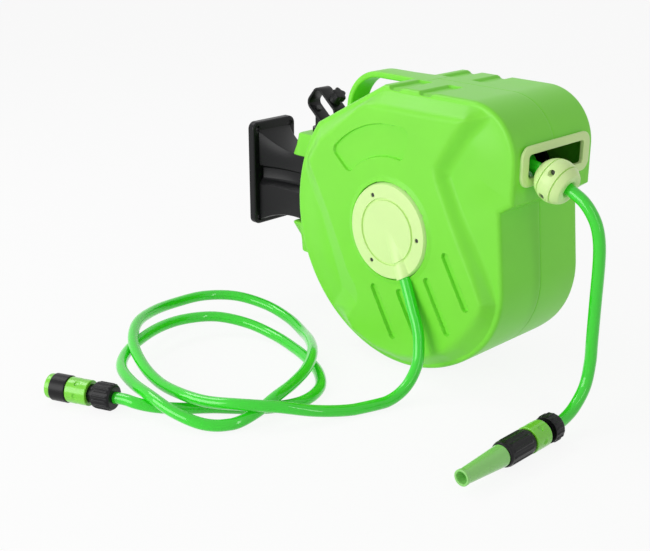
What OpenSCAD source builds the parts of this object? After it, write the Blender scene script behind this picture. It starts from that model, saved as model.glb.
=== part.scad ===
// Wall mounted garden hose reel with a spring rewind drum, swinging on a wall bracket.
// Millimetres. The origin is the centre of the wall plate's back face, the wall is the plane y = 0,
// and the reel stands out from it along -Y with its inlet on the -X side.

/* [Wall bracket] */
// Width of the wall plate
plate_w = 80; // [74:1:100]
// Height of the wall plate
plate_h = 150; // [144:1:170]
// Thickness of the wall plate
plate_t = 11; // [8:1:16]
// Corner radius of the wall plate
plate_corner_r = 10; // [4:1:14]
// Sideways distance between the wall screw holes
hole_pitch_x = 62; // [56:1:64]
// Upright distance between the wall screw holes
hole_pitch_z = 130; // [122:1:132]
// Diameter of the wall screw holes
wall_hole_d = 6.5; // [4.5:0.5:8]
// Distance from the wall to the pivot axis
pivot_reach = 112; // [108:1:118]
// Radius of the pivot barrel
barrel_r = 21; // [17:1:24]
// Width of the upper beam of the arm
upper_beam_w = 36; // [28:1:42]
// Width of the lower beam of the arm
lower_beam_w = 46; // [36:1:50]
// Thickness of the web between the two beams
web_w = 16; // [10:1:24]

/* [Pivot pin and ring] */
// Diameter of the pivot pin
pin_d = 16; // [12:1:18]
// Running clearance of pins, shafts and sleeves, on the radius
run_fit = 0.05; // [0.02:0.01:0.09]
// Radius of the pin head
pin_head_r = 15; // [12:1:18]
// Height of the pin head
pin_head_h = 6; // [4:1:8]
// Width of the strap of the pull ring
strap_w = 22; // [16:1:26]
// Thickness of the strap of the pull ring
strap_t = 4; // [3:0.5:5]
// Long outer side of the pull ring
ring_l = 52; // [48:1:60]
// Short outer side of the pull ring
ring_h = 36; // [32:1:40]
// Tilt of the pull ring from level
ring_tilt = 40; // [36:1:44]
// Radius of the lobed lock knob
knob_r = 11; // [9:1:13]

/* [Case] */
// Distance from the wall to the drum axis
drum_reach = 322; // [318:1:330]
// Radius of the round back of the case
case_r = 180; // [178:1:186]
// Half width of the case at its rim
half_w = 77; // [76:1:82]
// Half width of the case over the raised sides
plateau_x = 94; // [92:1:97]
// Height of the flat top above the drum axis
top_z = 172; // [170:1:178]
// Distance of the outlet face in front of the drum axis
nose_reach = 166; // [164:1:172]
// Radius of the rounded nose
nose_r = 64; // [56:1:66]
// Distance of the lower front face from the drum axis
front_reach = 153.4; // [152.8:0.2:156]
// Height of the lower lip of the outlet face
lip_z = 54; // [48:1:60]
// Wall thickness of the case
wall = 3; // [2.5:0.5:4]
// Radius of the rounded rim
rim_r = 5; // [4:0.5:6]
// Half width of the lugs on the pivot
lug_half_w = 30; // [24:1:34]
// Height of the upper lug
upper_lug_h = 33; // [26:1:36]
// Height of the lower lug
lower_lug_h = 41; // [34:1:46]
// Half width of the carrying handle
handle_half_w = 17; // [13:1:19]
// Thickness of the carrying handle
handle_t = 8; // [6:1:10]
// Depth of the slots pressed into the sides
slot_depth = 1.5; // [0.8:0.1:1.8]
// Depth of the bare label panel
label_depth = 1; // [0.5:0.1:1.5]
// Width of a case screw boss
boss_d = 12; // [11:0.5:13]
// Diameter of the case screws
case_screw_d = 4; // [3:0.5:5]

/* [Outlet] */
// Width of the outlet mouth
mouth_w = 106; // [100:1:110]
// Height of the outlet mouth
mouth_h = 27; // [26.5:0.5:29]
// Width of the bezel flange around the mouth
bezel_flange_w = 13; // [9:0.5:13]
// Height of the bezel flange above and below the mouth
bezel_flange_h = 10; // [8:0.5:11]
// How far the bezel stands proud of the outlet face
bezel_proud = 3.4; // [2:0.2:5]
// Radius of the hose stop ball
stop_r = 25.5; // [24:0.5:26]
// Downward tilt of the hose in the stop ball
stop_tilt = 21; // [19:1:23]

/* [Hose] */
// Outside diameter of the hose
hose_d = 14; // [13:0.1:14.2]
// Radius of the outer layer of the winding
wind_r = 137; // [134:1:138]
// Step from one turn of the winding to the next
wind_pitch = 14.8; // [14.7:0.1:15]
// Turns in the outer layer of the winding
wind_turns = 5.4; // [4.4:0.1:5.4]

/* [Drum] */
// Radius of the drum flanges
flange_r = 148; // [146:0.5:149]
// Thickness of the drum flanges
flange_t = 4; // [3:0.5:5]
// Half of the distance between the drum flanges
flange_x = 54; // [53:0.5:55]
// Outer radius of the drum barrel
barrel_drum_r = 86; // [84:1:92]
// Wall thickness of the drum barrel
barrel_drum_t = 3; // [2:0.5:5]
// Radius of the water shaft journal
journal_r = 15; // [13:0.5:16]
// Radius of the spring arbor
arbor_r = 14; // [12:0.5:15]
// Coils of the power spring
spring_coils = 7; // [5:1:9]
// Thickness of the power spring strip
spring_t = 1.2; // [0.8:0.1:1.6]
// Teeth of the ratchet ring
ratchet_teeth = 24; // [20:1:30]
// Radius over the ratchet teeth
ratchet_r = 80; // [78:0.5:80]
// Depth of the ratchet teeth
tooth_h = 6; // [5:0.5:7]

/* [Inlet] */
// Radius of the inlet cover
cover_r = 60.5; // [58:0.5:62]
// Thickness of the inlet cover
cover_t = 5; // [4:0.5:6]
// Outward slope of the inlet hose under the cover
inlet_slope = 9; // [8:0.5:10]
// Radius of the hose fairing at the rim of the cover
fairing_r = 9.5; // [9:0.25:11]

/* [Connectors and nozzle] */
// Radius of the ribbed hose nuts
nut_r = 15.5; // [14:0.5:16]
// Length of the inlet hose nut
inlet_nut_l = 24; // [20:1:26]
// Length of the outlet hose nut
outlet_nut_l = 17; // [15:1:20]
// Radius of the connector bodies
body_r = 10.4; // [9.5:0.1:11]
// Radius of the release sleeves
sleeve_r = 15.5; // [14:0.5:16]
// Travel of the release sleeves
sleeve_travel = 5; // [3:0.5:5]
// Length of the inlet release sleeve
inlet_sleeve_l = 28; // [24:1:32]
// Length of the outlet release sleeve
outlet_sleeve_l = 26; // [22:1:30]
// Radius of the tap thread's bore
tap_bore_r = 12; // [10:0.5:13]
// Length of the tap adaptor
tap_l = 21; // [18:1:26]
// Length of the nozzle grip
grip_l = 45; // [38:1:52]
// Radius of the nozzle grip
grip_r = 14.5; // [14:0.5:16]
// Length of the nozzle tip
tip_l = 66; // [56:1:76]
// Radius of the nozzle tip at its open end
tip_end_r = 8.5; // [8:0.5:10]

/* [Hidden] */
$fn = 48;
eps = 0.01;
seat = 0.3;
hose_r = hose_d / 2;
pin_r = pin_d / 2;

// The case and the drum keep their proportions: each of their three main sizes draws both larger or
// smaller, and the distance from the pivot to the round back stays
usual = [180, 166, 137, 14.8];
reel = (case_r / usual[0]) * (nose_reach / usual[1]) * (wind_r / usual[2]);
back_r = reel * usual[0];
nose_y = reel * usual[1];
wound_r = reel * usual[2];
roof_z = reel * top_z;
nose_arc_r = reel * nose_r;
front_d = reel * front_reach;
lip_up = reel * lip_z;
drum_flange_r = reel * flange_r;
barrel_out_r = reel * barrel_drum_r;
drum_y = drum_reach + back_r - usual[0];
pivot_y = drum_y - pivot_reach;

// Lug heights about the pivot barrel, and where the pin head sits
lug_gap_top = 41;
lug_gap_bottom = -55;
lug_top = lug_gap_top + upper_lug_h;
lug_bottom = lug_gap_bottom - lower_lug_h;
thrust_gap = 0.5;
head_top = lug_top + seat + pin_head_h;

// Case outline: straight facet behind the top, the depth of the lip under the outlet face, and the
// lower front, a plane that leans forward towards its foot and turns into the round back
facet_a = 61;
facet_in = 15;
facet_d = back_r - reel * facet_in;
lip_drop = 4;
front_lean = 6;
front_fillet_r = reel * 110;
front_out = [-cos(front_lean), sin(front_lean)];
front_down = [-sin(front_lean), -cos(front_lean)];
fillet_in = front_d - front_fillet_r;
fillet_drop = sqrt(pow(back_r - front_fillet_r, 2) - pow(fillet_in, 2));
fillet_c = fillet_in * front_out + fillet_drop * front_down;
fillet_a = atan2(fillet_c[1], fillet_c[0]);
fillet_steps = 10;
fillet_step = (-180 - front_lean - fillet_a) / fillet_steps;
plateau_foot = 2;
plateau_in = plateau_x - wall;
case_in = half_w - wall;

// Axial places of the drum's parts
flange_out = flange_x + flange_t;
ratchet_w = 8;
shoulder_x = flange_out + ratchet_w - 0.5;
bush_in = shoulder_x + thrust_gap;
bush_flange_t = 2;
journal_end = bush_in + 16;
elbow_x = plateau_x - 6;
bush_t = 5;
bush_r = journal_r + bush_t;
barrel_in_r = barrel_out_r - barrel_drum_t;

// Rings in one turn of the winding
wind_rings = 24;
wind_step = 360 / wind_rings;

// Hose in the outlet: its place across the mouth, the mouth's height, and its tangent to the winding
lead_x = -36;
mouth_z = reel * 104;
bezel_y = nose_y + bezel_proud;
stop_c = [lead_x, -(bezel_y + stop_r + seat), mouth_z - 14];
stop_dir = [0, -cos(stop_tilt), -sin(stop_tilt)];
stop_back = stop_c - stop_r * stop_dir;
back_d = norm([stop_back[1], stop_back[2]]);
lead_a = atan2(stop_back[2], stop_back[1]) - acos(wound_r / back_d);
lead_tilt = lead_a - 90;
lead_dir = [0, -cos(lead_tilt), -sin(lead_tilt)];
wind_end = [lead_x, wound_r * cos(lead_a), wound_r * sin(lead_a)];
lead_start = wind_end + hose_d * lead_dir;
core_r = (wound_r - hose_r) * cos(wind_step / 2) - seat;

// Inlet hose under the cover: its direction in the side plane, and the point where it starts
inlet_a = 240;
inlet_dir = [-sin(inlet_slope), cos(inlet_slope) * cos(inlet_a), cos(inlet_slope) * sin(inlet_a)];
inlet_root = [-elbow_x, -drum_y, 0];
inlet_start_d = 50;
inlet_exit_d = 66;

// Where the stop ball hangs, how far the floor follows the case, and how far the drum axis moves out
stop_row = [0, -drum_y, 0] + stop_c;
floor_drop = [0, 0, usual[0] - back_r];
axis_out = [0, drum_reach - drum_y, 0];
hang_x = lead_x + 3;
hang_y = stop_row[1] - 59.8;

// Connectors: where each hose nut starts and which way it points
inlet_nut_at = [-406, -178, -167] + floor_drop;
inlet_axis_a = 114;
outlet_nut_at = [-96, hang_y, -167] + floor_drop;
neck_gap = sleeve_travel + 1;
bush_gap = 0.3;

// Route of the inlet hose, from the elbow down the side of the case and over the floor to its nut
inlet_side = [
    [-104, -372, -86], [-108, -384, -106], [-113, -391, -126], [-123, -397, -146], [-144, -398, -167]
];
inlet_loops = [
    [-174, -394, -177], [-214, -381, -177], [-255, -362, -171], [-292, -337, -162], [-324, -308, -158],
    [-344, -272, -160], [-352, -232, -161], [-350, -188, -162], [-340, -142, -157], [-319, -94, -150],
    [-284, -53, -146], [-240, -27, -149], [-195, -17, -152], [-148, -22, -153], [-110, -46, -157],
    [-89, -86, -165], [-88, -132, -172], [-104, -178, -174], [-130, -220, -167], [-162, -257, -162],
    [-200, -286, -161], [-240, -305, -161], [-276, -314, -163], [-308, -316, -171], [-338, -310, -177],
    [-364, -290, -175], [-379, -256, -167], [-382, -216, -160], [-376, -172, -160], [-362, -130, -160],
    [-336, -99, -160], [-300, -78, -158], [-257, -65, -156], [-214, -64, -157], [-174, -81, -160],
    [-148, -116, -167], [-139, -160, -174], [-144, -204, -177], [-157, -246, -177], [-176, -284, -177],
    [-204, -313, -177], [-241, -324, -177], [-276, -312, -177], [-304, -288, -177], [-328, -262, -177],
    [-354, -240, -177], [-378, -220, -174], [-394, -205, -169], [-400, -191, -167]
];
inlet_route = concat(
    [inlet_root + inlet_start_d * inlet_dir, inlet_root + inlet_exit_d * inlet_dir],
    [for (p = inlet_side) p + axis_out], [for (p = inlet_loops) p + floor_drop], [inlet_nut_at]
);

// Route of the outlet hose, from the stop ball down to its nut
outlet_route = concat(
    [stop_row, stop_row + (stop_r + 1) * stop_dir],
    [for (p = [[0, -39.8, -19], [1, -51.8, -35], [2, -57.8, -54]]) stop_row + p],
    [for (z = [10, -40, -85]) [hang_x, hang_y, z]],
    [for (p = [[0, -111], [-7, -139], [-27, -159], [-49, -167]]) [hang_x + p[0], hang_y, p[1]] + floor_drop],
    [outlet_nut_at]
);

// Places of the case screws in the side plane, forward and up from the drum axis
case_screw_at = reel * [[-148, 72], [-100, 147], [70, 139], [160, 42], [118, -116], [0, -166], [-112, -122]];
screw_seat_x = 30;
screw_end_x = -24;

// Slots pressed into the raised sides: the upper end of each
slot_at = reel * [[27, -79], [-16, -75], [-59, -49], [-85, -11]];
slot_l = reel * 68;
slot_w = 5.5;
slot_a = 239;

// Bare label panel: a sector above the hub
label_r_in = reel * 91;
label_r_out = reel * 131;
label_a = [40, 102];

// Feet and upper edges of the raised sides, in the side plane, from the top front round the back.
// The feet stay inside the rounded rim.
foot_r = back_r - rim_r - 1;
foot_top = roof_z - rim_r - 1;
crease_at = [[0, 112, 9], [-20, 84, -38], [-36, 66, -74], [-50, 55, -101], [-60, 74, -132]];
low_edge_r = reel * 163;
top_edge = [[[-131, 158], [-127, 156]], [[47, 155], [55, 147]], [[134.5, 106], [122, 94]]];
front_edge = [
    [[-146, -92], [-130, -97]], [[-149, -64], [-142, -67]], [[-149, -50], [-142, -56]],
    [[-125, -10], [-111, -21]], [[-101, 27], [-87, 21]], [[-85, 59], [-71, 60]],
    [[-79, 82], [-66, 87]], [[-103, 122], [-92, 128]]
];
plateau_edge = concat(
    [reel * top_edge[0]],
    [[[-60 * reel, foot_top], reel * [-60, 155]], [[20 * reel, foot_top], reel * [27, 154]]],
    [reel * top_edge[1], reel * top_edge[2], [foot_r * [cos(15), sin(15)], reel * [146, 62]]],
    [for (e = crease_at) [foot_r * [cos(e[0]), sin(e[0])], reel * [e[1], e[2]]]],
    [for (a = [-67:-14:-123]) [foot_r * [cos(a), sin(a)], low_edge_r * [cos(a), sin(a)]]],
    [for (e = front_edge) reel * e]
);

case_green = [0.42, 0.78, 0.22];
pale_lime = [0.8, 0.95, 0.6];
hose_green = [0.15, 0.75, 0.15];
fitting_green = [0.35, 0.75, 0.15];
black = [0.1, 0.1, 0.1];
steel = [0.7, 0.7, 0.72];

// Points on an arc, both ends included
function arc(c, r, a0, a1, n) =
    [for (k = [0:n]) c + r * [cos(a0 + (a1 - a0) * k / n), sin(a0 + (a1 - a0) * k / n)]];

// Rectangle about the origin with round corners
function round_rect(w, h, r) = [
    for (q = [0:3])
        let (c = [(q == 0 || q == 3 ? 1 : -1) * (w / 2 - r), (q < 2 ? 1 : -1) * (h / 2 - r)])
        each arc(c, r, 90 * q, 90 * q + 90, 6)
];

// Side outline of the case, forward and up from the drum axis, drawn in by i
function facet_top_y(i) = (facet_d - i - (roof_z - i) * sin(facet_a)) / cos(facet_a);
function front_y(i, z) = (z * sin(front_lean) + i - front_d) / cos(front_lean);
function case_outline(i) =
    let (lip = lip_up - lip_drop + i)
    concat(
        arc([nose_arc_r - nose_y, roof_z - nose_arc_r], nose_arc_r - i, 180, 90, 8),
        [[facet_top_y(i), roof_z - i]],
        arc([0, 0], back_r - i, facet_a - acos((facet_d - i) / (back_r - i)), fillet_a, 36),
        arc(fillet_c, front_fillet_r - i, fillet_a + fillet_step, -180 - front_lean, fillet_steps - 1),
        [[front_y(i, lip), lip], [i - nose_y, lip_up + i]]
    );

// Triangles that fill an outline running clockwise, cut off corner by corner
function turn(a, b, c) = (b[0] - a[0]) * (c[1] - a[1]) - (b[1] - a[1]) * (c[0] - a[0]);
function covers(a, b, c, p) =
    p != a && p != b && p != c && turn(a, b, p) <= 0 && turn(b, c, p) <= 0 && turn(c, a, p) <= 0;
function is_corner(outline, ring, k) =
    let (n = len(ring), before = ring[(k + n - 1) % n], after = ring[(k + 1) % n])
    let (a = outline[before], b = outline[ring[k]], c = outline[after])
    turn(a, b, c) < 0 && len([for (j = ring) if (covers(a, b, c, outline[j])) j]) == 0;
function first_corner(outline, ring, k = 0) =
    k == len(ring) - 1 || is_corner(outline, ring, k) ? k : first_corner(outline, ring, k + 1);
function fill(outline, ring) =
    let (n = len(ring))
    n == 3 ? [ring] :
        let (k = first_corner(outline, ring))
        concat(
            [[ring[(k + n - 1) % n], ring[k], ring[(k + 1) % n]]],
            fill(outline, [for (j = [0:n - 1]) if (j != k) ring[j]])
        );

// Solid through a row of outlines with equal counts, each at its own x
module loft(rings) {
    n = len(rings[0][1]);
    last = len(rings) - 1;
    points = [for (r = rings) for (p = r[1]) [r[0], p[0], p[1]]];
    whole = [for (k = [0:n - 1]) k];
    near_cap = [for (t = fill(rings[0][1], whole)) [t[2], t[1], t[0]]];
    far_cap = [for (t = fill(rings[last][1], whole)) [last * n + t[0], last * n + t[1], last * n + t[2]]];
    sides = [
        for (j = [0:last - 1]) for (k = [0:n - 1])
            let (a = j * n + k, b = j * n + (k + 1) % n)
            each [[a, b, b + n], [a, b + n, a + n]]
    ];
    polyhedron(points, concat(near_cap, far_cap, sides));
}

// Side vectors carried along a path without twist
function unit(v) = v / norm(v);
function heading(path, k) =
    unit(path[min(k + 1, len(path) - 1)] - path[max(k - 1, 0)]);
function square_to(v, t) = unit(v - (v * t) * t);
function side_vectors(path, first) = [
    for (k = 0, v = square_to(first, heading(path, 0)); k < len(path);
        k = k + 1, v = k < len(path) ? square_to(v, heading(path, k)) : v) v
];

// Round tube of triangles swept along a path
module tube(path, r, sides, first) {
    across = side_vectors(path, first);
    points = [
        for (k = [0:len(path) - 1])
            let (t = heading(path, k), u = across[k], v = cross(t, u))
            for (s = [0:sides - 1])
                path[k] + r * (cos(360 * s / sides) * u + sin(360 * s / sides) * v)
    ];
    last = (len(path) - 1) * sides;
    skin = [
        for (k = [0:len(path) - 2]) for (s = [0:sides - 1])
            let (a = k * sides + s, b = k * sides + (s + 1) % sides)
            each [[a, b + sides, b], [a, a + sides, b + sides]]
    ];
    near_cap = [for (s = [0:sides - 1]) s];
    far_cap = [for (s = [sides - 1:-1:0]) last + s];
    polyhedron(points, concat([near_cap, far_cap], skin));
}

// Frames: the drum axis, prisms along X and Y, and round bars along X
module at_drum() translate([0, -drum_y, 0]) children();
module along_x(x0, x1) translate([x0, 0, 0]) rotate([90, 0, 90]) linear_extrude(x1 - x0) children();
module along_y(y0, y1) translate([0, y1, 0]) rotate([90, 0, 0]) linear_extrude(y1 - y0) children();
module bar_x(x0, x1, r, at = [0, 0])
    translate([x0, at[0], at[1]]) rotate([0, 90, 0]) cylinder(h = x1 - x0, r = r);
module tube_x(x0, x1, r, bore, at = [0, 0]) difference() {
    bar_x(x0, x1, r, at);
    bar_x(x0 - 1, x1 + 1, bore, at);
}
module along_inlet() at_drum() translate([-elbow_x, 0, 0]) rotate([inlet_a - 90, 0, 0])
    rotate([0, -inlet_slope, 0]) children();
module at_stop() at_drum() translate(stop_c) rotate([90 + stop_tilt, 0, 0]) children();
module at_inlet_end() translate(inlet_nut_at) rotate([0, 90, inlet_axis_a]) children();
module at_outlet_end() translate(outlet_nut_at) rotate([0, -90, 0]) children();
module pipe(z0, z1, r, bore) translate([0, 0, z0]) difference() {
    cylinder(h = z1 - z0, r = r);
    translate([0, 0, -1]) cylinder(h = z1 - z0 + 2, r = bore);
}

// Black wall plate with four screw holes, the arm of two beams and a web, and the pivot barrel
arm_top = lug_gap_top - 3;
arm_bottom = lug_gap_bottom + 3;
channel_half = 12;
flare_l = 26;
flare_out = 9;
plate_border = 5;
plate_recess = 2;
recess_corner_r = plate_corner_r - 3;
recess_y = plate_recess - plate_t;
hole_pad_r = 9;
rib_drop = 14;
rib_out = 10;
rib_foot = 6;
module beam(w, z0, z1) translate([0, 0, z0]) linear_extrude(z1 - z0) polygon([
    [-w / 2, -pivot_reach], [w / 2, -pivot_reach],
    [w / 2, -plate_t - flare_l], [w / 2 + flare_out, recess_y + 1],
    [-w / 2 - flare_out, recess_y + 1], [-w / 2, -plate_t - flare_l]
]);
module wall_holes(r, y0, y1) for (x = [-1, 1]) for (z = [-1, 1])
    translate([x * hole_pitch_x / 2, y1, z * hole_pitch_z / 2])
        rotate([90, 0, 0]) cylinder(h = y1 - y0, r = r);
module wall_bracket() color(black) difference() {
    union() {
        difference() {
            along_y(-plate_t, 0) polygon(round_rect(plate_w, plate_h, plate_corner_r));
            along_y(-plate_t - 1, recess_y) polygon(round_rect(
                plate_w - 2 * plate_border, plate_h - 2 * plate_border, recess_corner_r
            ));
        }
        wall_holes(hole_pad_r, -plate_t, -1);
        beam(upper_beam_w, channel_half, arm_top);
        beam(lower_beam_w, arm_bottom, -channel_half);
        translate([-web_w / 2, -pivot_reach, -channel_half - 1])
            cube([web_w, pivot_reach + recess_y + 1, 2 * channel_half + 2]);
        along_x(-web_w / 2, web_w / 2) polygon([
            [recess_y + 1, plate_h / 2 - rib_drop], [-plate_t, plate_h / 2 - rib_drop],
            [-plate_t - rib_out, arm_top + rib_foot], [-plate_t - flare_l, arm_top - 1],
            [recess_y + 1, arm_top - 1]
        ]);
        translate([0, -pivot_reach, lug_gap_bottom + thrust_gap])
            cylinder(h = lug_gap_top - lug_gap_bottom - 2 * thrust_gap, r = barrel_r);
    }
    wall_holes(wall_hole_d / 2, -plate_t - 1, 1);
    translate([0, -pivot_reach, lug_gap_bottom - 1])
        cylinder(h = lug_gap_top - lug_gap_bottom + 2, r = pin_r + run_fit);
}

// Pivot pin with its head, and a sloping saddle that the pull ring sits on
ring_c = [-6, 109];
ring_corner_r = 11;
saddle_w = 14;
saddle_from = -7;
saddle_to = 9;
pin_tail = 6;
ring_screw_r = 2;
ring_screw_l = 7;
ring_screw_off = 9;
module at_ring() translate([0, -pivot_reach + ring_c[0], ring_c[1]]) rotate([ring_tilt, 0, 0]) children();
module ring_screw_place() at_ring() translate([0, ring_screw_off, -ring_h / 2]) children();
module pivot_pin() color(black) {
    difference() {
        union() {
            translate([0, -pivot_reach, lug_bottom - pin_tail])
                cylinder(h = head_top - lug_bottom + pin_tail, r = pin_r);
            translate([0, -pivot_reach, lug_top + seat]) cylinder(h = pin_head_h, r = pin_head_r);
            translate([-saddle_w / 2, saddle_from - pivot_reach, head_top - 1])
                cube([saddle_w, saddle_to - saddle_from, ring_c[1] - head_top]);
        }
        at_ring() translate([-saddle_w, -ring_l, -ring_h / 2]) cube([2 * saddle_w, 2 * ring_l, 2 * ring_h]);
        ring_screw_place() translate([0, 0, -ring_screw_l - 1])
            cylinder(h = ring_screw_l + 2, r = ring_screw_r);
    }
}

// Flat strap bent to a closed ring
module pull_ring() color(black) difference() {
    at_ring() along_x(-strap_w / 2, strap_w / 2) difference() {
        polygon(round_rect(ring_l, ring_h, ring_corner_r));
        polygon(round_rect(ring_l - 2 * strap_t, ring_h - 2 * strap_t, ring_corner_r - strap_t));
    }
    ring_screw_place() translate([0, 0, -1]) cylinder(h = strap_t + 2, r = ring_screw_r + run_fit);
    knob_place() translate([0, 0, -strap_t - 1]) cylinder(h = strap_t + 2, r = knob_shank_r + run_fit);
}

// Pan head screw that holds the ring on the saddle
module ring_screw() color(steel) ring_screw_place() {
    translate([0, 0, -ring_screw_l]) cylinder(h = ring_screw_l + strap_t, r = ring_screw_r);
    translate([0, 0, strap_t]) cylinder(h = 2.5, r = 2 * ring_screw_r);
}

// Lobed lock knob on a short shank through the upper side of the ring
knob_shank_r = 4;
knob_hub_r = 9;
knob_hub_h = 7;
knob_h = 9;
knob_lobes = 5;
lobe_r = 5;
knob_off = -5;
knob_tail = 3;
module knob_place() at_ring() translate([0, knob_off, ring_h / 2]) children();
module lock_knob() color(black) knob_place() {
    translate([0, 0, -strap_t - knob_tail]) cylinder(h = strap_t + knob_tail + 1, r = knob_shank_r);
    translate([0, 0, seat]) cylinder(h = knob_hub_h, r1 = knob_hub_r, r2 = knob_hub_r - 2);
    translate([0, 0, seat + knob_hub_h - 1]) for (k = [0:knob_lobes - 1]) rotate(360 * k / knob_lobes)
        translate([knob_r - lobe_r, 0, 0]) cylinder(h = knob_h, r = lobe_r);
}

// One half of the case, on the +X side: rounded rim, raised side, lugs and handle over a hollow
top_strip_half = 22;
groove_d = 4.5;
handle_arc_r = reel * 55;
handle_c = [reel * 95, roof_z - handle_arc_r];
handle_root = [reel * 20, roof_z - 14];
handle_foot = reel * [[140, 100], [126, 100]];
lug_root_y = back_r - 40;
lug_back_y = pivot_y + 32;
lug_corner = 8;
upper_lug_lean = 10;
hollow_share = 0.9;
groove_at = reel * [-48, -1];
groove_w = reel * 24;
groove_slope = 4;
module case_lug(z0, z1, cut, lean) along_x(0, lug_half_w) polygon([
    [lug_root_y, z0], [lug_back_y - cut, z0], [lug_back_y, z0 + cut],
    [lug_back_y - lean, z1 - lug_corner], [lug_back_y - lean - lug_corner, z1], [lug_root_y, z1]
]);
module case_handle() along_x(0, handle_half_w) polygon(concat(
    [[handle_root[0], roof_z]], arc(handle_c, handle_arc_r, 90, 0, 12), handle_foot,
    arc(handle_c, handle_arc_r - handle_t, 0, 90, 12),
    [[handle_root[0] + 14, roof_z - handle_t], handle_root]
));
module case_hollow() {
    along_x(-1, half_w - rim_r) polygon(case_outline(wall));
    along_x(half_w - rim_r - 1, case_in) polygon(case_outline(wall + rim_r / 2));
    along_x(case_in - 1, plateau_in) scale(hollow_share) polygon([for (e = plateau_edge) e[1]]);
}
module top_grooves() for (y = groove_at) along_x(top_strip_half, half_w + 2) polygon([
    [y, roof_z + 1], [y + groove_w, roof_z + 1],
    [y + groove_w - groove_slope, roof_z - groove_d], [y + groove_slope, roof_z - groove_d]
]);
module side_marks() {
    for (p = slot_at) along_x(plateau_x - slot_depth, plateau_x + 1) translate(p) rotate(slot_a)
        polygon(concat(arc([0, 0], slot_w / 2, 90, 270, 8), arc([slot_l, 0], slot_w / 2, -90, 90, 8)));
    along_x(plateau_x - label_depth, plateau_x + 1)
        polygon(concat(
            arc([0, 0], label_r_out, label_a[0], label_a[1], 16),
            arc([0, 0], label_r_in, label_a[1], label_a[0], 12)
        ));
}
hub_ring_in = cover_r + 1;
hub_ring_out = cover_r + 7;
hub_ring_h = 1.5;
hub_ring_slope = 5;
sleeve_t = 5.8;
sleeve_corner_r = 8;
module half_shell() difference() {
    union() {
        difference() {
            union() {
                loft(concat(
                    [[0, case_outline(0)]],
                    [
                        for (a = [0:30:90])
                            [half_w - rim_r + rim_r * sin(a), case_outline(rim_r - rim_r * cos(a))]
                    ]
                ));
                loft([
                    [half_w - plateau_foot, [for (e = plateau_edge) e[0]]],
                    [plateau_x, [for (e = plateau_edge) e[1]]]
                ]);
                difference() {
                    translate([plateau_x - eps, 0, 0]) rotate([0, 90, 0])
                        cylinder(h = hub_ring_h, r1 = hub_ring_out, r2 = hub_ring_out - hub_ring_slope);
                    bar_x(plateau_x, plateau_x + hub_ring_h + 1, hub_ring_in);
                }
                case_lug(lug_gap_top, lug_top, 2, upper_lug_lean);
                case_lug(lug_bottom, lug_gap_bottom, 12, 0);
                case_handle();
            }
            case_hollow();
        }
        for (p = case_screw_at) bar_x(0, half_w - 1, boss_d / 2, p);
        translate([top_strip_half - 2, groove_at[0] - 6, roof_z - groove_d - wall])
            cube([case_in - top_strip_half, groove_at[1] - groove_at[0] + groove_w + 11, groove_d]);
    }
    top_grooves();
    side_marks();
    translate([0, pivot_y, lug_bottom - 1])
        cylinder(h = lug_top - lug_bottom + 2, r = pin_r + run_fit);
    along_y(-nose_y - 5, 8 - nose_y) translate([0, mouth_z]) polygon(round_rect(
        mouth_w + 2 * (sleeve_t + seat), mouth_h + 2 * (sleeve_t + seat), sleeve_corner_r + seat
    ));
}

// Left half: hub for the shaft bush, trough for the inlet hose, boss for the pawl, blind screw holes
pawl_at = [0, 98];
pawl_pin_r = 3;
pawl_boss_x = shoulder_x + 1.5;
elbow_pocket_r = bush_r + 2;
hub_wall = 6;
pawl_boss_wall = 4;
bush_back = journal_end + 2;
inlet_bore_r = hose_r + 1.5;
module left_shell() color(case_green) difference() {
    union() {
        at_drum() mirror([1, 0, 0]) half_shell();
        at_drum() bar_x(-plateau_in - 0.5, -bush_in - bush_flange_t, bush_r + hub_wall);
        at_drum() bar_x(-plateau_in - 0.5, -pawl_boss_x, pawl_pin_r + pawl_boss_wall, pawl_at);
    }
    at_drum() bar_x(-plateau_x - 1, -bush_back, elbow_pocket_r);
    at_drum() bar_x(-plateau_x - 1, -shoulder_x, bush_r);
    at_drum() bar_x(-plateau_in + 0.5, -shoulder_x, pawl_pin_r, pawl_at);
    along_inlet() cylinder(h = 90, r = inlet_bore_r);
    cover_screw_places() bar_x(-plateau_x - 1, -plateau_x + 8, cover_screw_r);
    for (p = case_screw_at) at_drum() bar_x(screw_end_x - 1, 1, case_screw_d / 2, p);
}

// Right half: socket for the spring arbor, deep counterbores for the case screws
arbor_flange_r = 30;
arbor_flange_t = 5;
module right_shell() color(case_green) difference() {
    union() {
        at_drum() half_shell();
        at_drum() tube_x(
            plateau_in - arbor_flange_t - wall, plateau_in + 0.5, arbor_flange_r + 4, arbor_flange_r
        );
    }
    for (p = case_screw_at) at_drum() {
        bar_x(-1, screw_seat_x + 1, case_screw_d / 2, p);
        bar_x(screw_seat_x, plateau_x + 5, case_screw_d, p);
    }
}

// Screws that hold the two halves together
module case_screws() color(steel) at_drum() for (p = case_screw_at) {
    bar_x(screw_end_x, screw_seat_x + eps, case_screw_d / 2, p);
    bar_x(screw_seat_x, screw_seat_x + 3, case_screw_d - 0.3, p);
}

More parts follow.
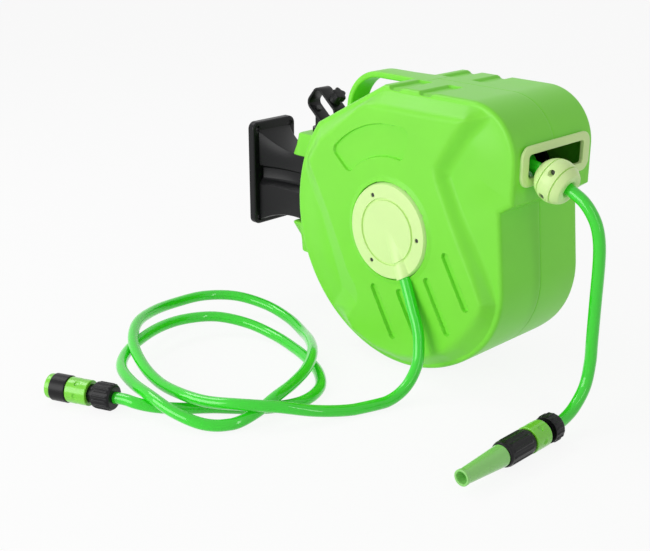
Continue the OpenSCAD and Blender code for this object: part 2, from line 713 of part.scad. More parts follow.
// Pale bezel: flange on the outlet face with a sleeve through the wall
bezel_sleeve_l = 11;
bezel_corner_r = 14;
mouth_corner_r = 4;
module outlet_bezel() color(pale_lime) at_drum() translate([0, 0, mouth_z]) difference() {
    union() {
        along_y(-bezel_y, -nose_y)
            polygon(round_rect(mouth_w + 2 * bezel_flange_w, mouth_h + 2 * bezel_flange_h, bezel_corner_r));
        along_y(-nose_y - eps, bezel_sleeve_l - nose_y)
            polygon(round_rect(mouth_w + 2 * sleeve_t, mouth_h + 2 * sleeve_t, sleeve_corner_r));
    }
    along_y(-bezel_y - 1, bezel_sleeve_l - nose_y + 1) polygon(round_rect(mouth_w, mouth_h, mouth_corner_r));
}

// Pale inlet cover: disc with an inner groove, and a fairing that widens round the hose towards the rim
cover_screw_r = 1.7;
cover_screw_ring = 48;
cover_screw_head_r = 2.5;
cover_screw_head_h = 2;
cover_screw_sink = 3;
cover_groove_r = 39.5;
cover_taper = 1.8;
fairing_root_r = 6;
fairing_l = cover_r + 12;
cover_face = plateau_x + cover_t;
module cover_screw_places() at_drum() for (a = [60, 180, 300])
    translate([0, cover_screw_ring * cos(a), cover_screw_ring * sin(a)]) children();
module inlet_cover() color(pale_lime) difference() {
    intersection() {
        union() {
            at_drum() translate([-cover_face, 0, 0]) rotate([0, 90, 0])
                cylinder(h = cover_t, r1 = cover_r - cover_taper, r2 = cover_r);
            along_inlet() cylinder(h = fairing_l, r1 = fairing_root_r, r2 = fairing_r);
        }
        at_drum() bar_x(-cover_face - 40, -plateau_x, cover_r);
    }
    at_drum() bar_x(-plateau_x - cover_t + 2, -plateau_x + 1, elbow_pocket_r);
    along_inlet() cylinder(h = inlet_start_d, r = barb_r + 2 * seat);
    along_inlet() translate([0, 0, inlet_start_d - 5]) cylinder(h = 90, r = hose_r + seat);
    at_drum() tube_x(-cover_face - 1, -cover_face + 1, cover_groove_r + 1.5, cover_groove_r);
    cover_screw_places() bar_x(-cover_face - 1, 1 - plateau_x, cover_screw_r);
    cover_screw_places() bar_x(-cover_face - 1, cover_screw_sink - cover_face, cover_screw_head_r + seat);
}

// Screws of the inlet cover, sunk below its face
module inlet_cover_screws() color(steel) cover_screw_places() {
    bar_x(cover_screw_sink - eps - cover_face, -plateau_in - 0.5, cover_screw_r - run_fit);
    bar_x(
        cover_screw_sink - cover_screw_head_h - cover_face, cover_screw_sink - cover_face, cover_screw_head_r
    );
}

// Flanged bush in the left half of the case
module left_bush() color(black) at_drum() difference() {
    union() {
        bar_x(-bush_back, -bush_in - bush_flange_t + eps, bush_r);
        bar_x(-bush_in - bush_flange_t, -bush_in, bush_r + 4);
    }
    bar_x(-bush_back - 1, 1, journal_r + run_fit);
}

// Hollow water shaft: journal, shoulder, flange bolted to the drum, bore with a seat for the elbow
shaft_flange_r = 44;
shaft_hub_r = 30;
spigot_r = 9;
water_r = 4;
branch_r = 3.5;
pipe_x = -40;
pipe_r = 5;
pipe_a = 200;
shaft_flange_t = 6;
shaft_tail = 12;
spigot_seat = 10;
module along_pipe() rotate([pipe_a, 0, 0]) translate([pipe_x, 0, 0]) rotate([-90, 0, 0]) children();
module water_shaft() color(black) at_drum() difference() {
    union() {
        bar_x(-journal_end, -shoulder_x + eps, journal_r);
        bar_x(-shoulder_x, -flange_out + eps, bush_r + 2);
        bar_x(-flange_out, -flange_x + eps, shaft_hub_r);
        bar_x(-flange_x, shaft_flange_t - flange_x, shaft_flange_r);
        bar_x(shaft_flange_t - 1 - flange_x, pipe_x + shaft_tail, journal_r);
    }
    bar_x(-journal_end - 1, spigot_seat - journal_end, spigot_r);
    bar_x(-journal_end, pipe_x + water_r + 2, water_r);
    along_pipe() cylinder(h = 40, r = branch_r);
    flange_screw_places() bar_x(-flange_out - 1, 10 - flange_x, flange_screw_r);
}

// Pipe that carries the water from the shaft out to the start of the winding
module hose_start_pipe() color(steel) at_drum() along_pipe()
    pipe(journal_r, barrel_out_r - seat, pipe_r, branch_r);

// Elbow that turns the water from the hose into the shaft, with a stop for the seal
elbow_r = 8;
seal_t = 1.7;
barb_r = 5.4;
module inlet_elbow() color(black) difference() {
    union() {
        at_drum() bar_x(1 - elbow_x, spigot_seat - 2 - journal_end, spigot_r - run_fit);
        at_drum() bar_x(1 - elbow_x, -journal_end - seat - seal_t, 14);
        at_drum() translate([-elbow_x, 0, 0]) sphere(r = elbow_r);
        along_inlet() cylinder(h = inlet_start_d, r = barb_r);
    }
    at_drum() bar_x(-elbow_x, 0, water_r);
    along_inlet() cylinder(h = inlet_start_d + 1, r = branch_r);
}

// Flat seal between the elbow and the end of the turning shaft
module union_seal() color(black) at_drum()
    tube_x(-journal_end - seat - seal_t, -journal_end - seat, journal_r - 1.5, spigot_r);

// Drum barrel with the hole for the start pipe
module drum_barrel() color(black) at_drum() difference() {
    tube_x(-flange_x, flange_x, barrel_out_r, barrel_in_r);
    along_pipe() cylinder(h = 200, r = pipe_r);
}

// Left drum flange with a spigot inside the barrel
flange_screw_r = 2;
flange_screw_head_r = 3.8;
shaft_screw_ring = 37;
housing_screw_ring = barrel_out_r - barrel_drum_t - 3.6;
module flange_screw_places()
    for (k = [0:3]) rotate([45 + 90 * k, 0, 0]) translate([0, shaft_screw_ring, 0]) children();
module right_screw_places()
    for (k = [0:3]) rotate([90 * k, 0, 0]) translate([0, housing_screw_ring, 0]) children();
module drum_left_flange() color(black) at_drum() difference() {
    union() {
        bar_x(-flange_out, -flange_x, drum_flange_r);
        tube_x(-flange_x - eps, 4 - flange_x, barrel_in_r, barrel_in_r - 3);
    }
    bar_x(-flange_out - 1, 1 - flange_x, shaft_hub_r);
    flange_screw_places() bar_x(-flange_out - 1, 1, flange_screw_r);
}

// Right drum flange around its bush
module drum_right_flange() color(black) at_drum() difference() {
    bar_x(flange_x, flange_out, drum_flange_r);
    bar_x(flange_x - 1, flange_out + 1, arbor_r + 6);
    right_screw_places() bar_x(flange_x - 1, flange_out + 1, flange_screw_r);
}

// Screws of both flanges
module flange_screws() color(steel) at_drum() {
    flange_screw_places() {
        bar_x(-flange_out - 1, shaft_flange_t - flange_x, flange_screw_r - run_fit);
        bar_x(-flange_out - 2, -flange_out, flange_screw_head_r);
    }
    right_screw_places() {
        bar_x(flange_x - 14, flange_out + 1, flange_screw_r - run_fit);
        bar_x(flange_out, flange_out + 2, flange_screw_head_r);
    }
}

// Flanged bush of the drum on the spring arbor
module right_bush() color(steel) at_drum() difference() {
    union() {
        bar_x(flange_x, flange_out + eps, arbor_r + 6);
        bar_x(flange_out, flange_out + 2, arbor_r + 9);
    }
    bar_x(flange_x - 1, flange_out + 3, arbor_r + run_fit);
}

// Spring housing: cup inside the barrel, open towards the right flange
housing_r = barrel_in_r;
housing_wall = 7;
housing_x = 8;
cover_in = flange_x - 3.5;
module spring_housing() color(black) at_drum() difference() {
    bar_x(housing_x, cover_in, housing_r);
    bar_x(housing_x + 3, cover_in + 1, housing_r - housing_wall);
    bar_x(housing_x - 1, housing_x + 4, arbor_r + 2);
    right_screw_places() bar_x(flange_x - 15, flange_x, flange_screw_r);
}

// Disc that closes the spring housing
module spring_cover() color(black) at_drum() difference() {
    bar_x(cover_in, flange_x, housing_r);
    bar_x(cover_in - 1, flange_x + 1, arbor_r + 2);
    right_screw_places() bar_x(cover_in - 1, flange_x + 1, flange_screw_r);
}

// Flat spiral spring between the arbor and the housing wall
spring_in = arbor_r + seat + spring_t / 2;
spring_out = housing_r - housing_wall - spring_t / 2;
spring_steps = 24 * spring_coils;
function spiral_point(k, side) =
    let (a = 15 * k, r = spring_in + (spring_out - spring_in) * k / spring_steps + side * spring_t / 2)
    r * [cos(a), sin(a)];
module power_spring() color(steel) at_drum() along_x(housing_x + 5, cover_in - 2) polygon(concat(
    [for (k = [0:spring_steps]) spiral_point(k, 1)], [for (k = [spring_steps:-1:0]) spiral_point(k, -1)]
));

// Fixed arbor on the right half of the case
module spring_arbor() color(steel) at_drum() {
    bar_x(housing_x + 4, plateau_in, arbor_r);
    bar_x(flange_out + 2 + thrust_gap, plateau_in, arbor_r + 6);
    bar_x(plateau_in - arbor_flange_t, plateau_in, arbor_flange_r);
}

// Ratchet ring with saw teeth on the left flange
tooth_a = 360 / ratchet_teeth;
tooth_lead = 0.8;
ratchet_in = 60;
pawl_l = 26;
pawl_nose_r = 2;
pawl_eye_r = pawl_pin_r + 3.5;
pawl_a = 319;
pawl_drop = 13;
pawl_x = flange_out + 1.5;
nose_in = pawl_at + pawl_l * [cos(pawl_a - pawl_drop), sin(pawl_a - pawl_drop)];
ratchet_turn = atan2(nose_in[1], nose_in[0]) + 4;
module ratchet_ring() color(black) at_drum() along_x(-flange_out - ratchet_w, -flange_out) difference() {
    polygon([
        for (k = [0:ratchet_teeth - 1])
            let (a = ratchet_turn + tooth_a * k)
            each [
                (ratchet_r - tooth_h) * [cos(a - tooth_lead), sin(a - tooth_lead)],
                ratchet_r * [cos(a), sin(a)]
            ]
    ]);
    circle(r = ratchet_in, $fn = 96);
}

// Pawl on its pin, held clear of the teeth at rest, with a round nose
module pawl() color(steel) at_drum() difference() {
    union() {
        bar_x(-shoulder_x, -pawl_x, pawl_eye_r, pawl_at);
        along_x(-shoulder_x, -pawl_x) translate(pawl_at) rotate(pawl_a)
            polygon([
                [0, pawl_eye_r - 0.5], [pawl_l, pawl_nose_r - 0.3],
                [pawl_l, 0.3 - pawl_nose_r], [0, 2 - pawl_eye_r]
            ]);
        bar_x(-shoulder_x, -pawl_x, pawl_nose_r, pawl_at + pawl_l * [cos(pawl_a), sin(pawl_a)]);
    }
    bar_x(-shoulder_x - 1, 1, pawl_pin_r + run_fit, pawl_at);
}
module pawl_pin() color(steel) at_drum() bar_x(-plateau_in + 0.5, -flange_out - 0.8, pawl_pin_r, pawl_at);

// Hose wound on the drum: plain inner layers, and the outer layer as one helix. A wider step leaves
// room for fewer turns between the flanges.
wind_n = round(wind_turns * wind_rings * usual[3] / wind_pitch);
function wind_point(k) =
    let (a = lead_a - wind_step * (wind_n - k))
    [lead_x + wind_pitch * (wind_n - k) / wind_rings, wound_r * cos(a), wound_r * sin(a)];
function wind_tangent(k) =
    let (a = lead_a - wind_step * (wind_n - k)) [0, -sin(a), cos(a)];
wind_path = concat(
    [wind_point(0) - hose_d * wind_tangent(0)], [for (k = [0:wind_n]) wind_point(k)],
    [wind_point(wind_n) + hose_d * wind_tangent(wind_n)]
);
wind_gap = min([
    for (i = [1:wind_n]) for (j = [i + wind_rings / 2:wind_n + 1]) norm(wind_path[i] - wind_path[j])
]) - hose_d;
echo(least_gap_of_winding = wind_gap);
module hose_core() color(hose_green) at_drum() {
    difference() {
        bar_x(-flange_x, flange_x, core_r);
        bar_x(-flange_x - 1, flange_x + 1, barrel_out_r);
    }
    a = lead_a - wind_step * wind_n;
    translate([wind_path[0][0], 0, 0]) rotate([a, 0, 0])
        translate([-hose_r, core_r - 6, -hose_d - 12]) cube([hose_d, hose_d + 4, 12]);
}
module hose_winding() color(hose_green) at_drum() tube(wind_path, hose_r, 6, [1, 0, 0]);

// Hose from the winding through the mouth into the stop ball
lead_route = [
    lead_start, lead_start + 30 * lead_dir, lead_start + 65 * lead_dir,
    stop_back - 20 * lead_dir, stop_back, stop_c
];
module hose_lead() color(hose_green) at_drum() tube(lead_route, hose_r, 10, [1, 0, 0]);

// Stop ball in two halves clamped round the hose by two screws
stop_screw_at = 15;
stop_screw_r = 1.6;
stop_head_r = 3.2;
stop_groove_w = 1.6;
stop_groove_z = 9;
stop_groove_d = 3.2;
stop_screw_sink = 8;
module stop_ball(side) at_stop() difference() {
    sphere(r = stop_r);
    cylinder(h = 4 * stop_r, r = hose_r + 0.15, center = true);
    translate([side * 2 * stop_r, 0, 0]) cube(4 * stop_r, center = true);
    for (z = [-stop_groove_z, stop_groove_z]) translate([0, 0, z - stop_groove_w / 2]) rotate_extrude()
        translate([stop_r - stop_groove_d, 0]) square([8, stop_groove_w]);
    for (y = [-stop_screw_at, stop_screw_at]) {
        bar_x(-stop_r, stop_r, stop_screw_r, [y, 0]);
        bar_x(-stop_r, stop_screw_sink - stop_r, stop_head_r + 0.2, [y, 0]);
    }
}
module hose_stop_left() color(pale_lime) stop_ball(1);
module hose_stop_right() color(pale_lime) stop_ball(-1);
module hose_stop_screws() color(steel) at_stop() for (y = [-stop_screw_at, stop_screw_at]) {
    bar_x(stop_screw_sink - 1 - stop_r, 10, stop_screw_r - run_fit, [y, 0]);
    bar_x(stop_screw_sink - 2.4 - stop_r, stop_screw_sink - stop_r, stop_head_r, [y, 0]);
}

// Free hoses
module outlet_hose() color(hose_green) tube(outlet_route, hose_r, 10, [1, 0, 0]);
module inlet_hose() color(hose_green) tube(inlet_route, hose_r, 10, [1, 0, 0]);

// Ribbed nut that clamps a hose on its connector
nut_ribs = 16;
nut_rib_r = 1.4;
hose_seat = 8;
module hose_nut(l) difference() {
    union() {
        cylinder(h = l, r = nut_r);
        for (k = [0:nut_ribs - 1]) rotate(360 * k / nut_ribs)
            translate([nut_r - 0.4, 0, 2]) cylinder(h = l - 4, r = nut_rib_r);
    }
    translate([0, 0, -1]) cylinder(h = l + 2, r = hose_r + 0.1);
    translate([0, 0, hose_seat]) cylinder(h = l, r = body_r);
}

// Connector body: tail in the nut, collar, and the socket that the sleeve slides on
collar_t = 2;
socket_r = 8;
plug_l = 11;
module connector_body(nut_l, sleeve_l) difference() {
    union() {
        translate([0, 0, hose_seat])
            cylinder(h = nut_l - hose_seat + neck_gap + collar_t + sleeve_l, r = body_r);
        translate([0, 0, nut_l]) cylinder(h = collar_t, r = body_r + 2);
    }
    cylinder(h = 200, r = water_r);
    translate([0, 0, nut_l + collar_t + neck_gap + sleeve_l - plug_l - 1])
        cylinder(h = 20, r = socket_r + run_fit);
}

// Release sleeve with a ring of round finger dimples
dimple_r = 3.4;
dimple_d = 1.5;
module release_sleeve(z, l) translate([0, 0, z]) difference() {
    cylinder(h = l, r = sleeve_r);
    translate([0, 0, -1]) cylinder(h = l + 2, r = body_r + run_fit);
    for (k = [0:5]) rotate(60 * k) translate([sleeve_r - dimple_d, 0, l / 2]) rotate([0, 90, 0])
        cylinder(h = 4, r = dimple_r);
}

// Outlet end: nut, connector and sleeve
outlet_sleeve_z = outlet_nut_l + collar_t + neck_gap;
nozzle_z = outlet_sleeve_z + outlet_sleeve_l + bush_gap;
module outlet_hose_nut() color(black) at_outlet_end() hose_nut(outlet_nut_l);
module outlet_connector() color(black) at_outlet_end() connector_body(outlet_nut_l, outlet_sleeve_l);
module outlet_release_sleeve() color(fitting_green) at_outlet_end()
    release_sleeve(outlet_sleeve_z, outlet_sleeve_l);

// Nozzle: stem plugged into the connector, grip that twists on it, tip that runs along it
stem_r = 6;
grip_bore_r = 9;
tip_root_r = 12.5;
tip_tail = 16;
tip_tail_r = 10.5;
journal_l = 22;
grip_ribs = 12;
grip_rib_r = 1.2;
tip_z = nozzle_z + bush_gap + grip_l + seat;
module nozzle_stem() color(black) at_outlet_end() difference() {
    union() {
        translate([0, 0, nozzle_z - plug_l]) cylinder(h = plug_l, r = socket_r);
        translate([0, 0, nozzle_z - eps]) cylinder(h = journal_l, r = grip_bore_r);
        translate([0, 0, nozzle_z]) cylinder(h = grip_l + tip_tail, r = stem_r);
    }
    translate([0, 0, nozzle_z - plug_l - 1]) cylinder(h = grip_l + 40, r = water_r - 1);
}
module nozzle_grip() color(black) at_outlet_end() translate([0, 0, nozzle_z + bush_gap]) difference() {
    union() {
        cylinder(h = grip_l, r = grip_r);
        for (k = [0:grip_ribs - 1]) rotate(360 * k / grip_ribs)
            translate([grip_r - 0.3, 0, 6]) cylinder(h = grip_l - 12, r = grip_rib_r);
    }
    translate([0, 0, -1]) cylinder(h = grip_l, r = grip_bore_r + run_fit);
    translate([0, 0, journal_l + 2]) cylinder(h = grip_l, r = tip_tail_r + run_fit);
}
module nozzle_tip() color(fitting_green) at_outlet_end() translate([0, 0, tip_z]) difference() {
    union() {
        translate([0, 0, -tip_tail]) cylinder(h = tip_tail + 1, r = tip_tail_r);
        cylinder(h = tip_l, r1 = tip_root_r, r2 = tip_end_r);
        translate([0, 0, tip_l - 4]) cylinder(h = 4, r = tip_end_r + 0.8);
    }
    translate([0, 0, -tip_tail - 1]) cylinder(h = tip_tail + 20, r = stem_r + 1);
    cylinder(h = tip_l + 1, r = water_r);
    translate([0, 0, tip_l - 14]) cylinder(h = 15, r1 = water_r, r2 = tip_end_r - 1.5);
}

// Inlet end: nut, connector, sleeve, and the tap adaptor with its seal ring
inlet_sleeve_z = inlet_nut_l + collar_t + neck_gap;
tap_z = inlet_sleeve_z + inlet_sleeve_l + bush_gap;
tap_r = 16.5;
tap_thread_l = 15;
tap_lip_l = 7;
module inlet_hose_nut() color(black) at_inlet_end() hose_nut(inlet_nut_l);
module inlet_connector() color(black) at_inlet_end() connector_body(inlet_nut_l, inlet_sleeve_l);
module inlet_release_sleeve() color(fitting_green) at_inlet_end()
    release_sleeve(inlet_sleeve_z, inlet_sleeve_l);
module tap_adaptor() color(black) at_inlet_end() difference() {
    union() {
        translate([0, 0, tap_z - plug_l]) cylinder(h = plug_l + eps, r = socket_r);
        translate([0, 0, tap_z]) cylinder(h = tap_l, r = tap_r);
    }
    translate([0, 0, tap_z - plug_l - 1]) cylinder(h = 40, r = water_r);
    translate([0, 0, tap_z + tap_l - tap_thread_l]) cylinder(h = 40, r = tap_bore_r);
}
module tap_seal() color(fitting_green) at_inlet_end()
    pipe(tap_z + tap_l, tap_z + tap_l + tap_lip_l, tap_r - 1.5, tap_bore_r + 0.4);

wall_bracket();
pivot_pin();
pull_ring();
ring_screw();
lock_knob();
left_shell();
right_shell();
case_screws();
outlet_bezel();
inlet_cover();
inlet_cover_screws();
left_bush();
right_bush();
water_shaft();
hose_start_pipe();
inlet_elbow();
union_seal();
drum_barrel();
drum_left_flange();
drum_right_flange();
flange_screws();
spring_housing();
spring_cover();
power_spring();
spring_arbor();
ratchet_ring();
pawl();
pawl_pin();
hose_core();
hose_winding();
hose_lead();
hose_stop_left();
hose_stop_right();
hose_stop_screws();
outlet_hose();
outlet_hose_nut();
outlet_connector();
outlet_release_sleeve();
nozzle_stem();
nozzle_grip();
nozzle_tip();
inlet_hose();
inlet_hose_nut();
inlet_connector();
inlet_release_sleeve();
tap_adaptor();
tap_seal();
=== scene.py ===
import bmesh
import bpy
import numpy as np
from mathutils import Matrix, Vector


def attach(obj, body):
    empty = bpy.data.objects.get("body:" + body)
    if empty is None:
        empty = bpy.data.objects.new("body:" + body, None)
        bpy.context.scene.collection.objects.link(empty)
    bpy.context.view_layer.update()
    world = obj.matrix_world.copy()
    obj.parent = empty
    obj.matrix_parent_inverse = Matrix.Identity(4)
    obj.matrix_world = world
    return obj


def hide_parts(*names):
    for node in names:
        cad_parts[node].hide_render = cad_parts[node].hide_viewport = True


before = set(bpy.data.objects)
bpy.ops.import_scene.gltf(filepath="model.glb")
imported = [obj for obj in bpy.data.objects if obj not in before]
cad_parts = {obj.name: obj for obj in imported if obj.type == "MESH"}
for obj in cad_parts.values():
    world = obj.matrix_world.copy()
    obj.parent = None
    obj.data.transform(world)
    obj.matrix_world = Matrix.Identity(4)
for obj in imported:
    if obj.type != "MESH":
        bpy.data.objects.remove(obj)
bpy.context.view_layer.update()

# Camera. The reel is seen from the front left and a little above, through a short telephoto lens,
# from about 1.6 m away.
lens = bpy.data.cameras.new("camera")
lens.sensor_fit = "HORIZONTAL"
lens.sensor_width = 36.0
lens.lens = 62.04
camera = bpy.data.objects.new("camera", lens)
camera.location = (-1.0549, -1.1924, 0.4213)
camera.rotation_euler = Vector((0.6560, 0.6703, -0.3469)).to_track_quat("-Z", "Y").to_euler()
bpy.context.scene.collection.objects.link(camera)
bpy.context.scene.camera = camera
bpy.context.scene.view_settings.view_transform = "Standard"


# Floor and light. A white paper floor under the hoses, an even white surround, a wide low softbox that lights
# the inlet side most and draws the bright bands along the hoses, a narrow one in front, and one behind for
# the top edges.
def add_node(tree, kind, **values):
    """New shader node with values on its sockets; an underscore stands for the space in a socket's name."""
    node = tree.nodes.new("ShaderNode" + kind)
    for socket, value in values.items():
        node.inputs[socket.replace("_", " ")].default_value = value
    return node


def seen_rays(tree):
    """Value that is 1 for what the camera sees, straight, mirrored or through something clear, and else 0."""
    rays = add_node(tree, "LightPath")
    value = rays.outputs["Is Camera Ray"]
    for kind in ("Is Glossy Ray", "Is Transmission Ray"):
        either = add_node(tree, "Math")
        either.operation = "MAXIMUM"
        tree.links.new(value, either.inputs[0])
        tree.links.new(rays.outputs[kind], either.inputs[1])
        value = either.outputs[0]
    return value


paper = bpy.data.materials.new("white_paper")
paper.use_nodes = True
tree = paper.node_tree
tree.nodes.clear()
place = add_node(tree, "TexCoord")
grain = add_node(tree, "TexNoise", Scale=40.0)
tone = add_node(tree, "MapRange", To_Min=0.90, To_Max=0.92)
matt = add_node(tree, "BsdfDiffuse")
glow = add_node(tree, "Emission")
share = add_node(tree, "Math")
share.operation = "MULTIPLY"
share.inputs[1].default_value = 0.90
blend = add_node(tree, "MixShader")
result = add_node(tree, "OutputMaterial")
join = tree.links.new
join(place.outputs["Object"], grain.inputs["Vector"])
join(grain.outputs["Fac"], tone.inputs["Value"])
join(tone.outputs["Result"], matt.inputs["Color"])
join(seen_rays(tree), share.inputs[0])
join(share.outputs[0], blend.inputs[0])
join(matt.outputs[0], blend.inputs[1])
join(glow.outputs[0], blend.inputs[2])
join(blend.outputs[0], result.inputs["Surface"])

floor_z = -0.1842
floor_half = 9.0
corners = [[x * floor_half, y * floor_half, floor_z] for x, y in ((-1, -1), (1, -1), (1, 1), (-1, 1))]
floor_mesh = bpy.data.meshes.new("floor")
floor_mesh.from_pydata(corners, [], [[0, 1, 2, 3]])
floor_mesh.materials.append(paper)
floor = bpy.data.objects.new("floor", floor_mesh)
bpy.context.scene.collection.objects.link(floor)

surround = bpy.data.worlds.new("white_surround")
surround.use_nodes = True
bpy.context.scene.world = surround
tree = surround.node_tree
sky = tree.nodes["Background"]
sky.inputs["Color"].default_value = (1, 1, 1, 1)
level = add_node(tree, "MapRange", To_Min=0.42)
tree.links.new(seen_rays(tree), level.inputs["Value"])
tree.links.new(level.outputs["Result"], sky.inputs["Strength"])


def softbox(name, place, aim, size, watts):
    """Rectangular lamp at place, turned to shine at aim."""
    lamp = bpy.data.lights.new(name, "AREA")
    lamp.shape = "RECTANGLE"
    lamp.size, lamp.size_y = size
    lamp.energy = watts
    lamp_object = bpy.data.objects.new(name, lamp)
    lamp_object.location = place
    lamp_object.rotation_euler = (Vector(aim) - Vector(place)).to_track_quat("-Z", "Y").to_euler()
    bpy.context.scene.collection.objects.link(lamp_object)


softbox("key_softbox", (-2.1, 0.25, 0.50), (-0.1, -0.3, 0.0), (1.6, 1.25), 23.8)
softbox("front_softbox", (-0.5, -2.2, 0.9), (0.0, -0.4, -0.1), (0.16, 1.6), 4.0)
softbox("top_softbox", (-0.45, 1.0, 1.7), (0.0, -0.35, 0.1), (1.0, 0.6), 9.0)

# Free hoses. Two lengths of extruded soft vinyl hose, 14 mm thick and glossy. The inlet hose comes from under
# its cover, lies in loops on the floor and ends in its nut; the outlet hose hangs from the stop ball.
hose_r = 7.0
hose_crease = 60.0
lying_z = -177.0
inlet_start = np.array([-88.0, -322.0, 0.0])
inlet_run = np.array([-0.156434, -0.493844, -0.855363])
inlet_points = np.vstack([inlet_start + 50.0 * inlet_run, inlet_start + 66.0 * inlet_run, [
    [-104, -372, -86], [-108, -384, -106], [-113, -391, -126], [-123, -397, -146], [-144, -398, -167],
    [-174, -394, -177], [-214, -381, -177], [-255, -362, -171], [-292, -337, -162], [-324, -308, -158],
    [-344, -272, -160], [-352, -232, -161], [-350, -188, -162], [-340, -142, -157], [-319, -94, -150],
    [-284, -53, -146], [-240, -27, -149], [-195, -17, -152], [-148, -22, -153], [-110, -46, -157],
    [-89, -86, -165], [-88, -132, -172], [-104, -178, -174], [-130, -220, -167], [-162, -257, -162],
    [-200, -286, -161], [-240, -305, -161], [-276, -314, -163], [-308, -316, -171], [-338, -310, -177],
    [-364, -290, -175], [-379, -256, -167], [-382, -216, -160], [-376, -172, -160], [-362, -130, -160],
    [-336, -99, -160], [-300, -78, -158], [-257, -65, -156], [-214, -64, -157], [-174, -81, -160],
    [-148, -116, -167], [-139, -160, -174], [-144, -204, -177], [-157, -246, -177], [-176, -284, -177],
    [-204, -313, -177], [-241, -324, -177], [-276, -312, -177], [-304, -288, -177], [-328, -262, -177],
    [-354, -240, -177], [-378, -220, -174], [-394, -205, -169], [-400, -191, -167], [-406, -178, -167],
]])
stop_centre = np.array([-36.0, -517.2, 90.0])
stop_axis = np.array([0.0, -0.933580, -0.358368])
stop_across = np.array([0.0, 0.358368, -0.933580])
stop_r = 25.5
outlet_points = np.vstack([stop_centre, stop_centre + (stop_r + 1.0) * stop_axis, [
    [-36, -557, 71], [-35, -569, 55], [-34, -575, 36], [-33, -577, 10], [-33, -577, -40], [-33, -577, -85],
    [-33, -577, -111], [-40, -577, -139], [-60, -577, -159], [-82, -577, -167], [-96, -577, -167],
]])


def run_along(path):
    """Length of the path up to each of its points."""
    return np.concatenate([[0], np.cumsum(np.linalg.norm(np.diff(path, axis=0), axis=1))])


def smooth_path(points, step):
    """Catmull-Rom curve through the points, set out again at equal steps of its length."""
    ends = np.vstack([2 * points[0] - points[1], points, 2 * points[-1] - points[-2]])
    t = np.linspace(0, 1, 24, endpoint=False)[None, :, None]
    a, b, c, d = (ends[k:len(ends) - 3 + k, None] for k in range(4))
    curve = b + 0.5 * t * (c - a + t * (2 * a - 5 * b + 4 * c - d + t * (3 * (b - c) + d - a)))
    curve = np.vstack([curve.reshape(-1, 3), points[-1:]])
    run = run_along(curve)
    stations = np.linspace(0, run[-1], int(round(run[-1] / step)) + 1)
    return np.column_stack([np.interp(stations, run, curve[:, k]) for k in range(3)])


def full_turn(count):
    """Even turns round a circle, in radians."""
    return np.linspace(0, 2 * np.pi, count, endpoint=False)


def capped(rows):
    """Grid with a row added at each end that closes it to the middle of its last loop."""
    first, last = (np.repeat(rows[k].mean(axis=0)[None, None], rows.shape[1], axis=1) for k in (0, -1))
    return np.concatenate([first, rows, last])


def unit(vectors):
    """The vectors at length 1."""
    return vectors / np.linalg.norm(vectors, axis=1)[:, None]


def hose_piece(name, path, across, sides=24):
    """Circle of hose_r carried along the path, square to it; across is never along the path."""
    heading = unit(np.gradient(path, axis=0))
    u = unit(np.cross(heading, across))
    v = np.cross(heading, u)
    turn = full_turn(sides)[None, :, None]
    rings = path[:, None] + hose_r * (np.cos(turn) * u[:, None] + np.sin(turn) * v[:, None])
    return build_piece(name, [(capped(rings), False)], hose_crease)


def build_piece(name, sheets, crease=40.0):
    """Quads between neighbouring points of each sheet, welded where sheets and poles meet, with a sharp edge
    where faces turn by more than the crease. A sheet is a grid of points in millimetres whose columns run
    round, and whether its rows do so too."""
    points, quads, count = [], [], 0
    for grid, rows_round in sheets:
        rows, columns = grid.shape[:2]
        index = count + np.arange(rows * columns).reshape(rows, columns)
        r = np.arange(rows if rows_round else rows - 1)
        c = np.arange(columns)
        r_next, c_next = (r + 1) % rows, (c + 1) % columns
        corners = (index[np.ix_(r, c)], index[np.ix_(r_next, c)],
                   index[np.ix_(r_next, c_next)], index[np.ix_(r, c_next)])
        quads.append(np.stack(corners, -1).reshape(-1, 4))
        points.append(grid.reshape(-1, 3))
        count += rows * columns
    points, quads = np.concatenate(points), np.concatenate(quads)
    quads = quads[np.isfinite(points[quads]).all(axis=(1, 2))]
    used, quads = np.unique(quads, return_inverse=True)
    mesh = bpy.data.meshes.new(name)
    mesh.from_pydata((points[used] * 0.001).tolist(), [], quads.reshape(-1, 4).tolist())
    work = bmesh.new()
    work.from_mesh(mesh)
    bmesh.ops.remove_doubles(work, verts=work.verts, dist=2e-6)
    bmesh.ops.dissolve_degenerate(work, edges=work.edges, dist=1e-6)
    bmesh.ops.recalc_face_normals(work, faces=work.faces)
    work.to_mesh(mesh)
    work.free()
    mesh.shade_smooth()
    mesh.set_sharp_from_angle(angle=np.radians(crease))
    piece = bpy.data.objects.new(name, mesh)
    bpy.context.scene.collection.objects.link(piece)
    return piece


# Skin of moulded and extruded plastic, shared by every plastic finish: faint clouds in the colour,
# gloss that changes a little from place to place, and the fine grain of the tool.
plastic_skin = bpy.data.node_groups.new("plastic_skin", "ShaderNodeTree")
for socket, kind in (("Colour", "Color"), ("Roughness", "Float"), ("Grain", "Float")):
    plastic_skin.interface.new_socket(socket, in_out="INPUT", socket_type="NodeSocket" + kind)
for socket, kind in (("Colour", "Color"), ("Roughness", "Float"), ("Height", "Float")):
    plastic_skin.interface.new_socket(socket, in_out="OUTPUT", socket_type="NodeSocket" + kind)
given = plastic_skin.nodes.new("NodeGroupInput")
made = plastic_skin.nodes.new("NodeGroupOutput")
place = add_node(plastic_skin, "TexCoord")
cloud = add_node(plastic_skin, "TexNoise", Scale=16.0, Detail=3.0)
shade = add_node(plastic_skin, "MapRange", To_Min=0.955, To_Max=1.045)
tint = add_node(plastic_skin, "HueSaturation")
speck = add_node(plastic_skin, "TexNoise", Detail=2.0)
gloss = add_node(plastic_skin, "MapRange", To_Min=-0.05, To_Max=0.05)
rough = add_node(plastic_skin, "Math")
